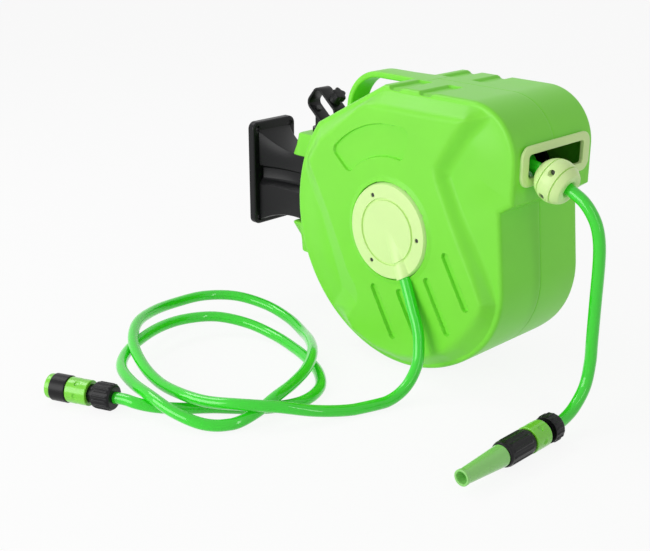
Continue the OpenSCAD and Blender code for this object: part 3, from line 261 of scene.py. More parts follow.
rough.operation = "ADD"
join = plastic_skin.links.new
join(place.outputs["Object"], cloud.inputs["Vector"])
join(cloud.outputs["Fac"], shade.inputs["Value"])
join(shade.outputs["Result"], tint.inputs["Value"])
join(given.outputs["Colour"], tint.inputs["Color"])
join(tint.outputs["Color"], made.inputs["Colour"])
join(place.outputs["Object"], speck.inputs["Vector"])
join(given.outputs["Grain"], speck.inputs["Scale"])
join(speck.outputs["Fac"], made.inputs["Height"])
join(cloud.outputs["Fac"], gloss.inputs["Value"])
join(given.outputs["Roughness"], rough.inputs[0])
join(gloss.outputs["Result"], rough.inputs[1])
join(rough.outputs[0], made.inputs["Roughness"])


def plastic(name, colour, roughness, grain, relief, shine=0.5, coat=0.0, coat_roughness=0.1):
    """Plastic finish: the skin varies its colour and gloss, and its grain stands up by relief metres."""
    finish = bpy.data.materials.new(name)
    finish.use_nodes = True
    tree = finish.node_tree
    shader = tree.nodes["Principled BSDF"]
    skin = add_node(tree, "Group")
    skin.node_tree = plastic_skin
    skin.inputs["Colour"].default_value = (*colour, 1.0)
    skin.inputs["Roughness"].default_value = roughness
    skin.inputs["Grain"].default_value = grain
    bump = add_node(tree, "Bump", Strength=0.5, Distance=relief)
    tree.links.new(skin.outputs["Colour"], shader.inputs["Base Color"])
    tree.links.new(skin.outputs["Roughness"], shader.inputs["Roughness"])
    tree.links.new(skin.outputs["Height"], bump.inputs["Height"])
    tree.links.new(bump.outputs["Normal"], shader.inputs["Normal"])
    shader.inputs["Specular IOR Level"].default_value = shine
    shader.inputs["Coat Weight"].default_value = coat
    shader.inputs["Coat Roughness"].default_value = coat_roughness
    return finish


hose_vinyl = plastic("hose_vinyl", (0.030, 0.74, 0.016), 0.30, 120.0, 0.00004, 0.15,
                     coat=1.0, coat_roughness=0.05)


def dress(piece, finish, body, slot, *nodes):
    """Gives a piece its finish, the body that carries it, and the solids it stands for; the slot is not used.
    """
    piece.data.materials.append(finish)
    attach(piece, body)
    if nodes:
        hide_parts(*nodes)


inlet_path = smooth_path(inlet_points, 4.0)
inlet_path[:, 2] = np.maximum(inlet_path[:, 2], lying_z)
inlet_hose = hose_piece("inlet_hose_skin", inlet_path, (0, 0, 1))
dress(inlet_hose, hose_vinyl, "case", "hose_green", "inlet_hose")
outlet_path = smooth_path(outlet_points, 3.0)
outlet_hose = hose_piece("outlet_hose_skin", outlet_path, (0.707, -0.707, 0))
dress(outlet_hose, hose_vinyl, "case", "hose_green", "outlet_hose")

# Hose lead. The same hose, drawn tight from the winding through the mouth into the stop ball.
drum_y = -322.0
wind_r = 137.0
stop_back = stop_centre - stop_r * stop_axis
back_y, back_z = stop_back[1] - drum_y, stop_back[2]
lead_turn = np.arctan2(back_z, back_y) - np.arccos(wind_r / np.hypot(back_y, back_z))
lead_run = np.array([0.0, -np.sin(lead_turn), np.cos(lead_turn)])
wind_end = np.array([stop_centre[0], drum_y + wind_r * np.cos(lead_turn), wind_r * np.sin(lead_turn)])
lead_start = wind_end + 14.0 * lead_run
lead_points = np.vstack([lead_start, lead_start + 30 * lead_run, lead_start + 65 * lead_run,
                         stop_back - 20 * lead_run, stop_back, stop_centre])
lead_path = smooth_path(lead_points, 4.0)
hose_lead = hose_piece("hose_lead_skin", lead_path, (1, 0, 0))
dress(hose_lead, hose_vinyl, "case", "hose_green", "hose_lead")


# Case halves. Two bright green mouldings with 3 mm walls that meet in a seam at the middle and are held by
# seven screws from the right: a rounded rim, raised sides with softened edges, pressed slots, a sunk label
# panel, and two cross grooves in the top.
case_green = plastic("case_green", (0.225, 0.800, 0.050), 0.38, 700.0, 0.00010, 0.35)
half_w = 77.0
rim_r = 5.0
wall = 3.0
side_rise = 17.0
swell_rise = 4.5
swell_run = 45.0
top_z = 172.0
case_r = 180.0
facet_reach = 165.0
front_reach = 153.4
front_round = 110.0
nose_y, nose_z, nose_r = -102.0, 108.0, 64.0
face_y = -166.0
lip_z = 62.0
under_lip_z = 50.0
mouth_half, mouth_low, mouth_high = 59.1, 84.4, 123.6
step_run = 0.9
slot_length = 64.0
slot_half = 5.2
slot_depth = 4.2
label_r = 111.0
label_corner = 9.0
label_depth = 3.3
collar_from, collar_to, collar_rise = 6.0, 1.0, 2.0
cover_seat_r = 56.0
cover_seat_depth = 5.0
screw_well_depth = 14.0
groove_w = 24.0
groove_depth = 4.5
strip_half = 21.0


def outline_at(inset):
    """Side outline of the case drawn in by inset: nose arc, flat top, rear facet, round back, the bend into
    the leaning lower front, lip and outlet face, as points (y, z) from the drum axis."""
    inset = np.asarray(inset, float)[..., None]

    def line(start, end, count):
        t = np.linspace(0, 1, count, endpoint=False)
        return [start[k] + (end[k] - start[k]) * t for k in (0, 1)]

    def arc(centre, radius, a0, a1, count):
        t = a0 + (a1 - a0) * np.linspace(0, 1, count, endpoint=False)
        return [centre[0] + radius * np.cos(t), centre[1] + radius * np.sin(t)]

    facet, lean = np.radians(61.0), np.radians(6.0)
    rest = inset * 0
    mouth_turn = np.pi - np.arcsin((mouth_high - nose_z) / nose_r)
    ridge = ((facet_reach - inset - (top_z - inset) * np.sin(facet)) / np.cos(facet), top_z - inset)
    back_from = facet - np.arccos((facet_reach - inset) / (case_r - inset))
    shoulder = ((case_r - inset) * np.cos(back_from), (case_r - inset) * np.sin(back_from))
    front_in = front_reach - front_round
    front_drop = np.sqrt((case_r - front_round) ** 2 - front_in ** 2)
    bend = (-front_in * np.cos(lean) - front_drop * np.sin(lean),
            front_in * np.sin(lean) - front_drop * np.cos(lean))
    bend_from = np.arctan2(bend[1], bend[0])
    low = (bend[0] - (front_round - inset) * np.cos(lean), bend[1] + (front_round - inset) * np.sin(lean))
    under_z = under_lip_z + inset
    under_lip = ((under_z * np.sin(lean) + inset - front_reach) / np.cos(lean), under_z)
    face = face_y + inset
    lip = (face, lip_z + inset)
    parts = [
        arc((nose_y, nose_z), nose_r - inset, np.pi + rest, mouth_turn + rest, 14),
        arc((nose_y, nose_z), nose_r - inset, mouth_turn + rest, np.pi / 2 + rest, 56),
        line((nose_y + rest, top_z - inset), ridge, 104),
        line(ridge, shoulder, 84),
        arc((0.0, 0.0), case_r - inset, back_from, bend_from + rest, 290),
        arc(bend, front_round - inset, bend_from + rest, -np.pi - lean + rest, 70),
        line(low, under_lip, 62),
        line(under_lip, lip, 12),
        line(lip, (face, mouth_low + rest), 18),
        line((face, mouth_low + rest), (face, nose_z + rest), 16),
    ]
    return np.stack([np.concatenate([p[k] for p in parts], axis=-1) for k in (0, 1)], axis=-1)


def grid_of(x, y, z):
    """Grid of points from their coordinates, each given by row, by column or by both."""
    return np.stack(np.broadcast_arrays(x, y, z), -1)


def at_turn(turn, radius=1.0):
    """Points at the turns, the radius away from the middle."""
    return np.stack([radius * np.cos(turn), radius * np.sin(turn)], -1)


def on_arc(y, z, radius, *degrees):
    """Points on an arc about (y, z)."""
    return (at_turn(np.radians(degrees), radius) + np.array([y, z])).tolist()


side_foot = np.array(
    [[-131, 158.5], [-118, 164], [-102, 166.2], [20, 166.4], [29, 165], [47, 155.5], [134.5, 106.5],
     [162, 60], [164, 46], [152, 18], [138, -12], [124, -51], [108, -91], [104, -107]]
    + on_arc(0, 0, 174.3, -50, -60, -67, -81, -95, -109, -123, -132)
    + on_arc(-48.9, -50.1, 104.3, 220, 210, 200, 190)
    + [[-152.5, -58], [-141, -30], [-119, 14], [-97, 54], [-82.5, 82], [-108.5, 124]], float)
side_edge = np.array(
    [[-106, 152.5], [-58, 150.5], [11, 149.5], [45, 149], [58, 142], [122, 92], [143, 62], [109, 6],
     [84, -42], [70, -70], [57, -85], [52, -97], [53, -110], [71, -134]]
    + on_arc(0, 0, 161.0, -67, -81, -95, -109, -123)
    + [[-104, -120.5], [-117, -103.5], [-129, -87.5], [-138, -73], [-143, -57], [-128, -28], [-107, 8],
       [-92, 35], [-86, 46.5], [-72, 73], [-66.5, 91.5], [-87, 124.5]], float)


def distance_inside(points, ring):
    """Distance to the nearest side of the ring of corners, positive inside it."""
    a, b = ring, np.roll(ring, -1, axis=0)
    side = b - a
    away = points[..., None, :] - a
    t = np.clip((away * side).sum(-1) / (side * side).sum(-1), 0, 1)
    near = np.linalg.norm(away - t[..., None] * side, axis=-1).min(-1)
    level = points[..., None, 1]
    spans = (a[:, 1] > level) != (b[:, 1] > level)
    crossing = a[:, 0] + (level - a[:, 1]) * side[:, 0] / np.where(side[:, 1] == 0, 1e-9, side[:, 1])
    inside = (spans & (points[..., None, 0] < crossing)).sum(-1) % 2 == 1
    return np.where(inside, near, -near)


def eased(share):
    """Smooth step: 0 up to a share of 0, 1 from a share of 1, and an S between."""
    share = np.clip(share, 0, 1)
    return share * share * (3 - 2 * share)


def corner_fill(a, b, soft):
    """How far a round of about soft stands off the corner where two heights cross."""
    return np.maximum(soft - np.abs(a - b), 0) ** 2 / (4 * soft)


def raised_side(points, soft_r=12.0):
    """Height of the raised side over the rim's plane: a slight swell from the rim inwards, then a ramp from
    its foot to its edge, by the share of the way between the two, with the bends rounded to about soft_r."""
    inside_foot = distance_inside(points, side_foot)
    outside_edge = -distance_inside(points, side_edge)
    width = np.maximum(inside_foot + outside_edge, 1.0)
    rise = side_rise * inside_foot / width
    slope = side_rise / width
    soft = np.clip(soft_r * slope * np.tan(np.arctan(slope) / 2), 0.15, 6.0)
    rise = np.minimum(rise, side_rise) - corner_fill(rise, side_rise, soft)
    from_rim = distance_inside(points, outline_at(rim_r)[::6]) / swell_run
    swell = swell_rise * eased(from_rim)
    return np.maximum(rise, swell) + corner_fill(rise, swell, soft) * np.clip(from_rim * 9, 0, 1)


def outside_circles(centres, radius):
    """Distance to the nearest of some circles, as a function of points."""
    def distance(points):
        return (np.linalg.norm(points[..., None, :] - centres, axis=-1) - radius).min(-1)
    return distance


def outside_box(off, half, corner):
    """Distance to a rectangle with round corners, given the offsets from its middle."""
    q = np.abs(off) - half + corner
    return np.linalg.norm(np.maximum(q, 0), axis=-1) + np.minimum(q.max(-1), 0) - corner


def outside_slots(points):
    """Distance to the nearest pressed slot: a straight line thickened by slot_half."""
    starts = np.array([[24.3, -79.7], [-18.7, -75.7], [-61.7, -49.7], [-87.7, -11.7]])
    along = at_turn(np.radians(239))
    away = points[..., None, :] - starts
    t = np.clip((away * along).sum(-1), 0, slot_length)
    return (np.linalg.norm(away - t[..., None] * along, axis=-1) - slot_half).min(-1)


def outside_label(points):
    """Distance to the label panel: radius 91 to 131, 40 to 102 degrees, with round corners."""
    radius = np.hypot(points[..., 0], points[..., 1])
    turn = np.arctan2(points[..., 1], points[..., 0]) - np.radians(71)
    turn = (turn + np.pi) % (2 * np.pi) - np.pi
    off = np.stack([radius - label_r, label_r * turn], -1)
    return outside_box(off, np.array([20.0, label_r * np.radians(31)]), label_corner)


outside_hub = outside_circles(np.zeros((1, 2)), 61.5)
screw_wells = np.array([[-148, 72], [-100, 147], [70, 139], [160, 42], [118, -116], [0, -166], [-112, -122]])
outside_screw_wells = outside_circles(screw_wells, 4.0)


def snap_to(points, outside, levels, reach):
    """Points within reach of a level line of the distance are moved straight onto it."""
    near = 0.05
    for level_line in levels:
        off = outside(points) - level_line
        slope = np.stack([outside(points + d) - outside(points - d) for d in ([near, 0], [0, near])], -1)
        points = points - slope / (2 * near) * np.where(np.abs(off) < reach, off, 0)[..., None]
    return points


def groove_floor(y, x):
    """Height of the top where the two cross grooves run, with sloping sides, outside the middle strip."""
    across = np.zeros_like(y)
    for start in (-48.0, -1.0):
        across = np.maximum(across, eased(np.minimum(y - start, start + groove_w - y) / 5.0))
    return top_z - groove_depth * across * eased((np.abs(x) - strip_half) / 2.5)


def half_case_skin(sign, covered):
    """Rows from the middle seam over the rim and across the side, columns round the outline. The covered half
    ends in a sunk seat under the inlet cover; the other closes to the axis and has the screw wells."""
    seam_x = np.array([0.0, 0.35, 0.8])
    seam_in = np.array([0.55, 0.12, 0.0])
    band_x = np.array([4, 10, 16, 20, strip_half, 21.8, 22.6, 23.4, 25, 30, 36, 42, 48, 54, mouth_half,
                       64, 68.5, half_w - rim_r])
    turn = np.radians([18, 36, 54, 72, 90])
    x = np.concatenate([seam_x, band_x, half_w - rim_r + rim_r * np.sin(turn)])
    inset = np.concatenate([seam_in, 0 * band_x, rim_r - rim_r * np.cos(turn)])
    band = outline_at(inset)
    rim = band[-1]
    rim_turn = np.unwrap(np.arctan2(rim[:, 1], rim[:, 0]))
    even = np.linspace(rim_turn[0], rim_turn[-1], len(rim))
    hub_turn = 0.8 * rim_turn + 0.2 * even
    hub = at_turn(hub_turn, cover_seat_r if covered else 0.0)
    share = np.linspace(0, 1, 108)[1:, None, None]
    side = rim + share * (hub - rim)
    step = (0.0, -step_run)
    side = snap_to(side, outside_slots, step, 0.45)
    side = snap_to(side, outside_label, step, 0.45)
    side = snap_to(side, outside_hub, (0.0, collar_to, collar_from), 0.45)
    from_hub = outside_hub(side)
    height = half_w + raised_side(side)
    height -= slot_depth * np.clip(-outside_slots(side) / step_run, 0, 1)
    height -= label_depth * np.clip(-outside_label(side) / step_run, 0, 1)
    collar = np.clip((collar_from - from_hub) / (collar_from - collar_to), 0, 1)
    height += collar_rise * collar * (from_hub > -0.01)
    if covered:
        height -= cover_seat_depth * (from_hub < -0.01)
    else:
        side = snap_to(side, outside_screw_wells, step, 0.5)
        height -= screw_well_depth * np.clip(-outside_screw_wells(side) / step_run, 0, 1)
    x = np.concatenate([np.repeat(x[:, None], len(rim), axis=1), height])
    plane = np.concatenate([band, side])
    y, z = plane[..., 0], plane[..., 1]
    z = np.minimum(z, groove_floor(y, x))
    inside_mouth = (x < mouth_half - 0.01) & (z > mouth_low + 0.01) & (z < mouth_high - 0.01) & (y < -150)
    grid = grid_of(sign * x, y + drum_y, z)
    grid[inside_mouth] = np.nan
    return grid


def half_case_lining(sign):
    """Inside of the wall from the seam to the side and in to radius 42."""
    inner_w = half_w - wall
    x = np.array([0.4, mouth_half, 70.0, inner_w, inner_w])[:, None]
    loops = outline_at(np.array([wall, wall, wall, 2 * wall]))[:, ::6]
    turn = np.arctan2(loops[-1, :, 1], loops[-1, :, 0])
    plane = np.concatenate([loops, at_turn(turn, 42.0)[None]])
    hole = (x < 59.0) & (plane[..., 1] > 80) & (plane[..., 1] < 128) & (plane[..., 0] < -145)
    grid = grid_of(sign * x, plane[..., 0] + drum_y, plane[..., 1])
    grid[hole] = np.nan
    return grid


for name, sign, covered in (("left", -1, True), ("right", 1, False)):
    sheets = [(half_case_skin(sign, covered), False), (half_case_lining(sign), False)]
    dress(build_piece(name + "_case_half", sheets, 50), case_green, "case", "case_green", name + "_shell")

# Lugs. Two stout ears at the back of the case, half on each moulding, that take the pivot pin.
pin_y = -112.0
pin_bore_r = 8.05


def rounded_box_loop(x_half, y_low, y_high, corner, count):
    """Rectangle with round corners about the pin, as count points at even turns from its axis."""
    side = at_turn(full_turn(count))
    middle = np.array([0.0, (y_low + y_high) / 2])
    half = np.array([x_half, (y_high - y_low) / 2])
    near, far = np.zeros(count), np.full(count, 400.0)
    for _ in range(40):
        reach = (near + far) / 2
        outside = outside_box(side * reach[:, None] - middle, half, corner) > 0
        near, far = np.where(outside, near, reach), np.where(outside, reach, far)
    return side * near[:, None]


def lug(z_low, z_high, back_low, back_high):
    """Loops from the pin's bore out over the lower face, up the sides and back in over the upper face.
    back_low and back_high are how far the rear face stands behind the pin at its foot and its top."""
    edge = 2.5
    count = 96
    turn = np.radians(np.linspace(0, 90, 5))
    z = np.concatenate([z_low + edge - edge * np.cos(turn), z_high - edge + edge * np.sin(turn)])
    inset = np.concatenate([edge - edge * np.sin(turn), edge - edge * np.cos(turn)])
    back = back_low + (back_high - back_low) * (z - z_low) / (z_high - z_low)
    loops = [rounded_box_loop(30.0 - i, -70.0, b - i, 5.0, count) for i, b in zip(inset, back)]
    circle = at_turn(full_turn(count), pin_bore_r)
    plane = np.stack([circle] + loops + [circle])
    z = np.concatenate([[z_low], z, [z_high]])
    return np.concatenate([plane + np.array([0.0, pin_y]), np.repeat(z[:, None, None], count, axis=1)], -1)


lugs = build_piece("case_lugs", [(lug(41.0, 74.0, 32.0, 20.0), True), (lug(-96.0, -55.0, 14.0, 34.0), True)])
dress(lugs, case_green, "case", "case_green", "left_shell", "right_shell")

# Carrying handle. A flat strap that runs on from the strip in the middle of the top, bends down over the
# back and joins the rear facet; half of it is moulded on each half of the case.
strap_turn = np.radians(np.linspace(90, 0, 25))
strap_line = np.vstack([
    np.column_stack([np.linspace(10, 92, 26), np.full(26, 168.15)]),
    np.array([95, 117]) + at_turn(strap_turn, 51),
    [[144.0, 111.0], [139.0, 104.0], [133.0, 99.0]]])
strap_heading = unit(np.gradient(strap_line, axis=0))
strap_up = np.stack([-strap_heading[:, 1], strap_heading[:, 0]], -1)


def rounded_section(width, height, corner, steps):
    """Rectangle with round corners about the origin, corner by corner."""
    turn = np.radians(np.linspace(0, 90, steps))
    inner = np.array([width / 2 - corner, height / 2 - corner])
    quarters = [inner * side + at_turn(turn + k * np.pi / 2, corner)
                for k, side in enumerate(((1, 1), (-1, 1), (-1, -1), (1, -1)))]
    return np.concatenate(quarters)


section = rounded_section(34.0, 8.0, 2.6, 6)
strap_half = np.interp(strap_line[:, 0], [14, 60], [21.5, 17.0]) / 17.0
strap_grid = np.concatenate([
    strap_half[:, None, None] * section[None, :, :1],
    strap_line[:, None] + strap_up[:, None] * section[None, :, 1:] + np.array([drum_y, 0.0])], -1)
handle = build_piece("carrying_handle", [(capped(strap_grid), False)])
dress(handle, case_green, "case", "case_green", "left_shell", "right_shell")

# Wall bracket. Plate, arm and pivot barrel in one black glass filled moulding. Four wall screws go through
# the corners of the plate, and the arm, two beams with a channel between them, swells into it in a hollow
# curve.
black_moulding = plastic("black_moulding", (0.006, 0.006, 0.007), 0.34, 900.0, 0.00008, 0.22)
wall_holes = np.array([[-31, -65], [31, -65], [31, 65], [-31, 65]], float)
hole_r = 3.25
hole_chamfer = 1.5
outside_wall_holes = outside_circles(wall_holes, hole_r)


def evened(loop, count):
    """Closed row of points set out again at equal steps of its length."""
    closed = np.vstack([loop, loop[:1]])
    run = run_along(closed)
    stations = np.linspace(0, run[-1], count, endpoint=False)
    return np.column_stack([np.interp(stations, run, closed[:, k]) for k in (0, 1)])


def plate_skin():
    """Rows from the middle line of the front out over the rounded edge and back in over the rear face."""
    plate_half, edge = 40.0, 3.0
    outer = evened(rounded_section(2 * plate_half, 150.0, 10.0, 16), 480)
    spine = np.stack([0 * outer[:, 0], np.clip(outer[:, 1], -35, 35)], -1)
    turn = np.radians([15, 30, 45, 60, 75, 90])
    inset = np.concatenate([np.linspace(plate_half, edge, 46), edge - edge * np.sin(turn)])
    plane = spine + (1 - inset / plate_half)[:, None, None] * (outer - spine)
    plane = snap_to(plane, outside_wall_holes, (0.0, hole_chamfer), 0.5)
    front = -8.0 - np.sqrt(edge ** 2 - np.maximum(edge - inset, 0) ** 2)
    front = front[:, None] + 1.2 * np.clip(1 - outside_wall_holes(plane) / hole_chamfer, 0, 1)
    y = np.concatenate([front, 0 * front])
    plane = np.concatenate([plane, plane[::-1]])
    grid = grid_of(plane[..., 0], y, plane[..., 1])
    grid[outside_wall_holes(plane) < -0.05] = np.nan
    return grid


def arm_skin():
    """Sections square to the arm, from inside the plate to the pivot; every size grows towards the plate by
    a power of the way left to it."""
    y = -9.0 - 103.0 * np.linspace(0, 1, 44) ** 1.5
    left = np.clip(1 - (-y - 11) / 72, 0, 1) ** 2.3
    top, bottom = 38 + 25 * left, -52 - 17 * left
    upper, lower, web = 17 + 13 * left, 25 + 6 * left, 8 + 15 * left
    rest = 0 * y
    half = np.stack([
        np.stack(pair, -1) for pair in (
            (upper - 3.0, top), (upper - 0.9, top - 0.9), (upper, top - 3.0), (upper, 14.0 + rest),
            (upper - 1.0, 12.2 + rest), (web + 3.0, 11.0 + rest), (web, 8.0 + rest), (web, -4.5 + rest),
            (web + 1.0, -7.0 + rest), (web + 3.5, -9.0 + rest), (lower - 1.5, -13.5 + rest),
            (lower, -15.5 + rest), (lower, bottom + 3.0), (lower - 0.9, bottom + 0.9),
            (lower - 3.0, bottom))], 1)
    loop = np.concatenate([half, half[:, ::-1] * np.array([-1.0, 1.0])], axis=1)
    return capped(grid_of(loop[..., 0], y[:, None], loop[..., 1]))


around = full_turn(64)
barrel_z = np.array([-54.5, -54.5, -54.1, -53.3, 39.3, 40.1, 40.5, 40.5])[:, None]
barrel_r = np.array([pin_bore_r, 19.8, 20.6, 21.0, 21.0, 20.6, 19.8, pin_bore_r])[:, None]
barrel = grid_of(barrel_r * np.cos(around), barrel_r * np.sin(around) + pin_y, barrel_z)
sheets = [(plate_skin(), False), (arm_skin(), False), (barrel, True)]
hole_y = np.array([[-9.8], [0.0]])
for x, z in wall_holes:
    hole = grid_of(x + hole_r * np.cos(around), hole_y, z + hole_r * np.sin(around))
    sheets.append((hole, False))
bracket = build_piece("wall_bracket_skin", sheets, 35)
dress(bracket, black_moulding, "wall_bracket", "black", "wall_bracket")


# Pivot pin, pull ring and lock knob. Black mouldings: the pin drops through the lugs and the barrel,
# the ring is a flat strap screwed to its head, and the lobed knob turns in the ring's upper side.
def finish_solids(finish, *names):
    """Gives their finish to solids that show as they are."""
    for name in names:
        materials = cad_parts[name].data.materials
        materials.clear()
        materials.append(finish)


finish_solids(black_moulding, "pivot_pin")


def tilted(x, y, z):
    """Places in the ring's own frame, leaned back by 40 degrees over the pin's head."""
    lean = np.radians(40)
    back, up = y * np.cos(lean) - z * np.sin(lean), y * np.sin(lean) + z * np.cos(lean)
    return grid_of(x, back - 118.0, up + 109.0)


ring_line = evened(rounded_section(48.0, 32.0, 9.0, 12), 120)
ring_run = unit(np.roll(ring_line, -1, axis=0) - np.roll(ring_line, 1, axis=0))
strap = rounded_section(22.0, 4.0, 1.3, 4)
ring_y = ring_line[:, :1] + ring_run[:, 1:] * strap[None, :, 1]
ring_z = ring_line[:, 1:] - ring_run[:, :1] * strap[None, :, 1]
ring = build_piece("pull_ring_skin", [(tilted(strap[None, :, 0], ring_y, ring_z), True)])
dress(ring, black_moulding, "pivot_pin", "black", "pull_ring")

knob_z = np.array([-7, -7, -6.6, 0.3, 0.3, 0.8, 6.2, 7.0, 8.0, 13.6, 14.6, 15.1, 15.3, 15.3])[:, None]
knob_r = np.array([0, 3.5, 4.0, 4.0, 8.5, 9.0, 8.0, 8.4, 9.5, 9.6, 9.1, 8.3, 7.2, 0])[:, None]
knob_turn = full_turn(120)[None]
knob_r = knob_r * (1 + 0.14 * np.clip((knob_z - 6.2) / 1.6, 0, 1) * np.cos(5 * knob_turn))
knob_skin = tilted(knob_r * np.cos(knob_turn), knob_r * np.sin(knob_turn) - 5.0, knob_z + 18.0)
knob = build_piece("lock_knob_skin", [(knob_skin, False)])
dress(knob, black_moulding, "lock_knob", "black", "lock_knob")

# Outlet bezel. Pale lime moulding: a flange on the outlet face and a sleeve that lines the mouth.
pale_lime = plastic("pale_lime", (0.72, 0.95, 0.40), 0.38, 700.0, 0.00010, 0.4)


def bezel_skin():
    """Rounded rectangles from the back of the flange over its front edge, across its face and down the
    sleeve, and back along the sleeve's outside."""
    mouth_z = 104.0
    turn = np.radians(np.linspace(0, 90, 5))
    outer = [(132 - 3.0 * (1 - np.cos(a)), 47 - 3.0 * (1 - np.cos(a)), 14 - 1.5 * (1 - np.cos(a)),
              -489.9 - 1.5 * np.sin(a)) for a in turn]
    inner = [(108.4 - 2.4 * np.sin(a), 29.4 - 2.4 * np.sin(a), 5.2 - 1.2 * np.sin(a),
              -491.4 + 1.2 * (1 - np.cos(a))) for a in turn]
    sizes = ([(117.6, 38.6, 8, -486.6), (117.6, 38.6, 8, -488.0), (132, 47, 14, -488.0)] + outer + inner
             + [(106, 27, 4, -486.6)])
    grid = np.stack([rounded_section(w, h, r, 9) for w, h, r, _ in sizes])
    depth = np.array([s[3] for s in sizes])[:, None]
    return grid_of(grid[..., 0], depth, grid[..., 1] + mouth_z)


bezel = build_piece("outlet_bezel_skin", [(bezel_skin(), True)])
dress(bezel, pale_lime, "case", "pale_lime", "outlet_bezel")


# Inlet cover. Pale lime disc over the water inlet, with three sunk screws, a fairing that swells round the
# hose towards the rim, and a fine groove that crosses the fairing.
def cover_skin():
    """Height over the case's middle by radius and turn: the higher of a flat disc with a rolled edge and the
    cone of the fairing, with the corner between them filled, less the groove and the screw wells."""
    face, skirt = 99.0, 94.0
    groove_in, groove_out, groove_deep = 39.0, 42.0, 2.4
    well_run, well_deep = 0.4, 2.6
    edge = np.radians([30, 60, 85])
    radius = np.concatenate([np.linspace(0, 38.4, 60), [38.8, 39.2, 41.8, 42.2], np.linspace(42.8, 57.9, 44),
                             57.9 + 0.8 * np.sin(edge), [59.6, 60.5]])
    roll = np.concatenate([np.zeros(108), 0.8 - 0.8 * np.cos(edge), [3.3, 5.0]])
    r, t = np.meshgrid(radius, full_turn(420), indexing="ij")
    plane = at_turn(t, r)
    outside_wells = outside_circles(at_turn(np.radians([60, 180, 300]), 48.0), 2.8)
    plane = snap_to(plane, outside_wells, (0.0, -well_run), 0.28)
    y, z = plane[..., 0], plane[..., 1]
    flat = face - roll[:, None]
    run, slope = np.radians(240), np.radians(9)
    along = y * np.cos(run) + z * np.sin(run)
    aside = z * np.cos(run) - y * np.sin(run)
    cone_r = 8.9 + 1.5 * along / np.cos(slope) / 72.5
    round_top = np.sqrt(np.maximum(cone_r ** 2 - aside ** 2, 0)) / np.cos(slope)
    fairing = np.where((along > -4) & (np.abs(aside) < cone_r), 88.0 + along * np.tan(slope) + round_top, 0.0)
    higher = np.maximum(flat, fairing) + corner_fill(flat, fairing, 3.6)
    higher -= groove_deep * ((r > groove_in) & (r < groove_out))
    higher -= well_deep * np.clip(-outside_wells(plane) / well_run, 0, 1)
    higher[-1] = skirt
    return grid_of(-higher, y + drum_y, z)


cover = build_piece("inlet_cover_skin", [(cover_skin(), False)])
dress(cover, pale_lime, "case", "pale_lime", "inlet_cover")

# Hose stop. A pale ball in two halves, clamped round the hose by two blackened screws from the inlet side,
# with two grooves turned round it.
black_steel = plastic("black_steel", (0.028, 0.028, 0.028), 0.34, 600.0, 0.00006)
stop_bore = 7.15
stop_screw_up = 15.0
stop_x = np.array([1.0, 0.0, 0.0])


def half_stop(sign):
    """Rows along the ball's axis, ending in a flat face with a flared opening; each row goes round the
    outside from seam to seam and back in the bore."""
    ball_at = np.concatenate([
        [-24.47], np.linspace(-24.2, -10.2, 34), [-9.8, -9.75, -8.25, -8.2], np.linspace(-7.8, 7.8, 34),
        [8.2, 8.25, 9.75, 9.8], np.linspace(10.2, 16.8, 16)])
    groove_at, groove_half, groove_deep = 9.0, 0.78, 2.2
    ball = np.sqrt(stop_r ** 2 - ball_at ** 2)
    groove_floor_r = np.sqrt(stop_r ** 2 - groove_at ** 2) - groove_deep
    ball = np.where(np.abs(np.abs(ball_at) - groove_at) < groove_half, groove_floor_r, ball)
    along = np.concatenate([ball_at, [17.5, 17.9, 18.0, 18.0, 17.4, 12.0]])
    outer = np.concatenate([ball, [18.4, 17.7, 16.8, 10.6, 9.8, 7.2]])
    turn = np.concatenate([[-90, -89, -87.6], np.linspace(-85, 85, 110), [87.6, 89, 90]])
    drawn_in = np.interp(np.abs(turn), [0, 86, 87.6, 89, 90], [0, 0, 0.05, 0.25, 0.6])
    outer_r = np.maximum(outer[:, None] - drawn_in, stop_bore)
    radius = np.concatenate([outer_r, np.full_like(outer_r, stop_bore)], axis=1)
    w = np.repeat(np.stack([along, np.minimum(along, 12.0)], -1), len(turn), axis=1)
    turn = np.radians(np.concatenate([turn, turn[::-1]]))
    x, v = radius * np.cos(turn), radius * np.sin(turn)
    if sign < 0:
        off = np.hypot(np.abs(v) - stop_screw_up, w)
        x = np.where(off < 3.3, np.minimum(x, 15.6), x)
    return (stop_centre + sign * x[..., None] * stop_x + v[..., None] * stop_across
            + w[..., None] * stop_axis)


for name, sign in (("left", -1), ("right", 1)):
    half = build_piece("hose_stop_" + name + "_skin", [(half_stop(sign), False)])
    dress(half, pale_lime, "case", "pale_lime", "hose_stop_" + name)
screw_a = full_turn(48)[None]
screw_r = np.array([0.0, 2.5, 2.8, 2.8, 0.0])[:, None]
screw_x = np.array([16.6, 16.6, 16.3, 14.0, 14.0])[:, None]
heads = [stop_centre - screw_x[..., None] * stop_x
         + (up + screw_r * np.sin(screw_a))[..., None] * stop_across
         + (screw_r * np.cos(screw_a))[..., None] * stop_axis for up in (-stop_screw_up, stop_screw_up)]
stop_screws = build_piece("hose_stop_screw_heads", [(head, False) for head in heads])
dress(stop_screws, black_steel, "case", "steel", "hose_stop_screws")

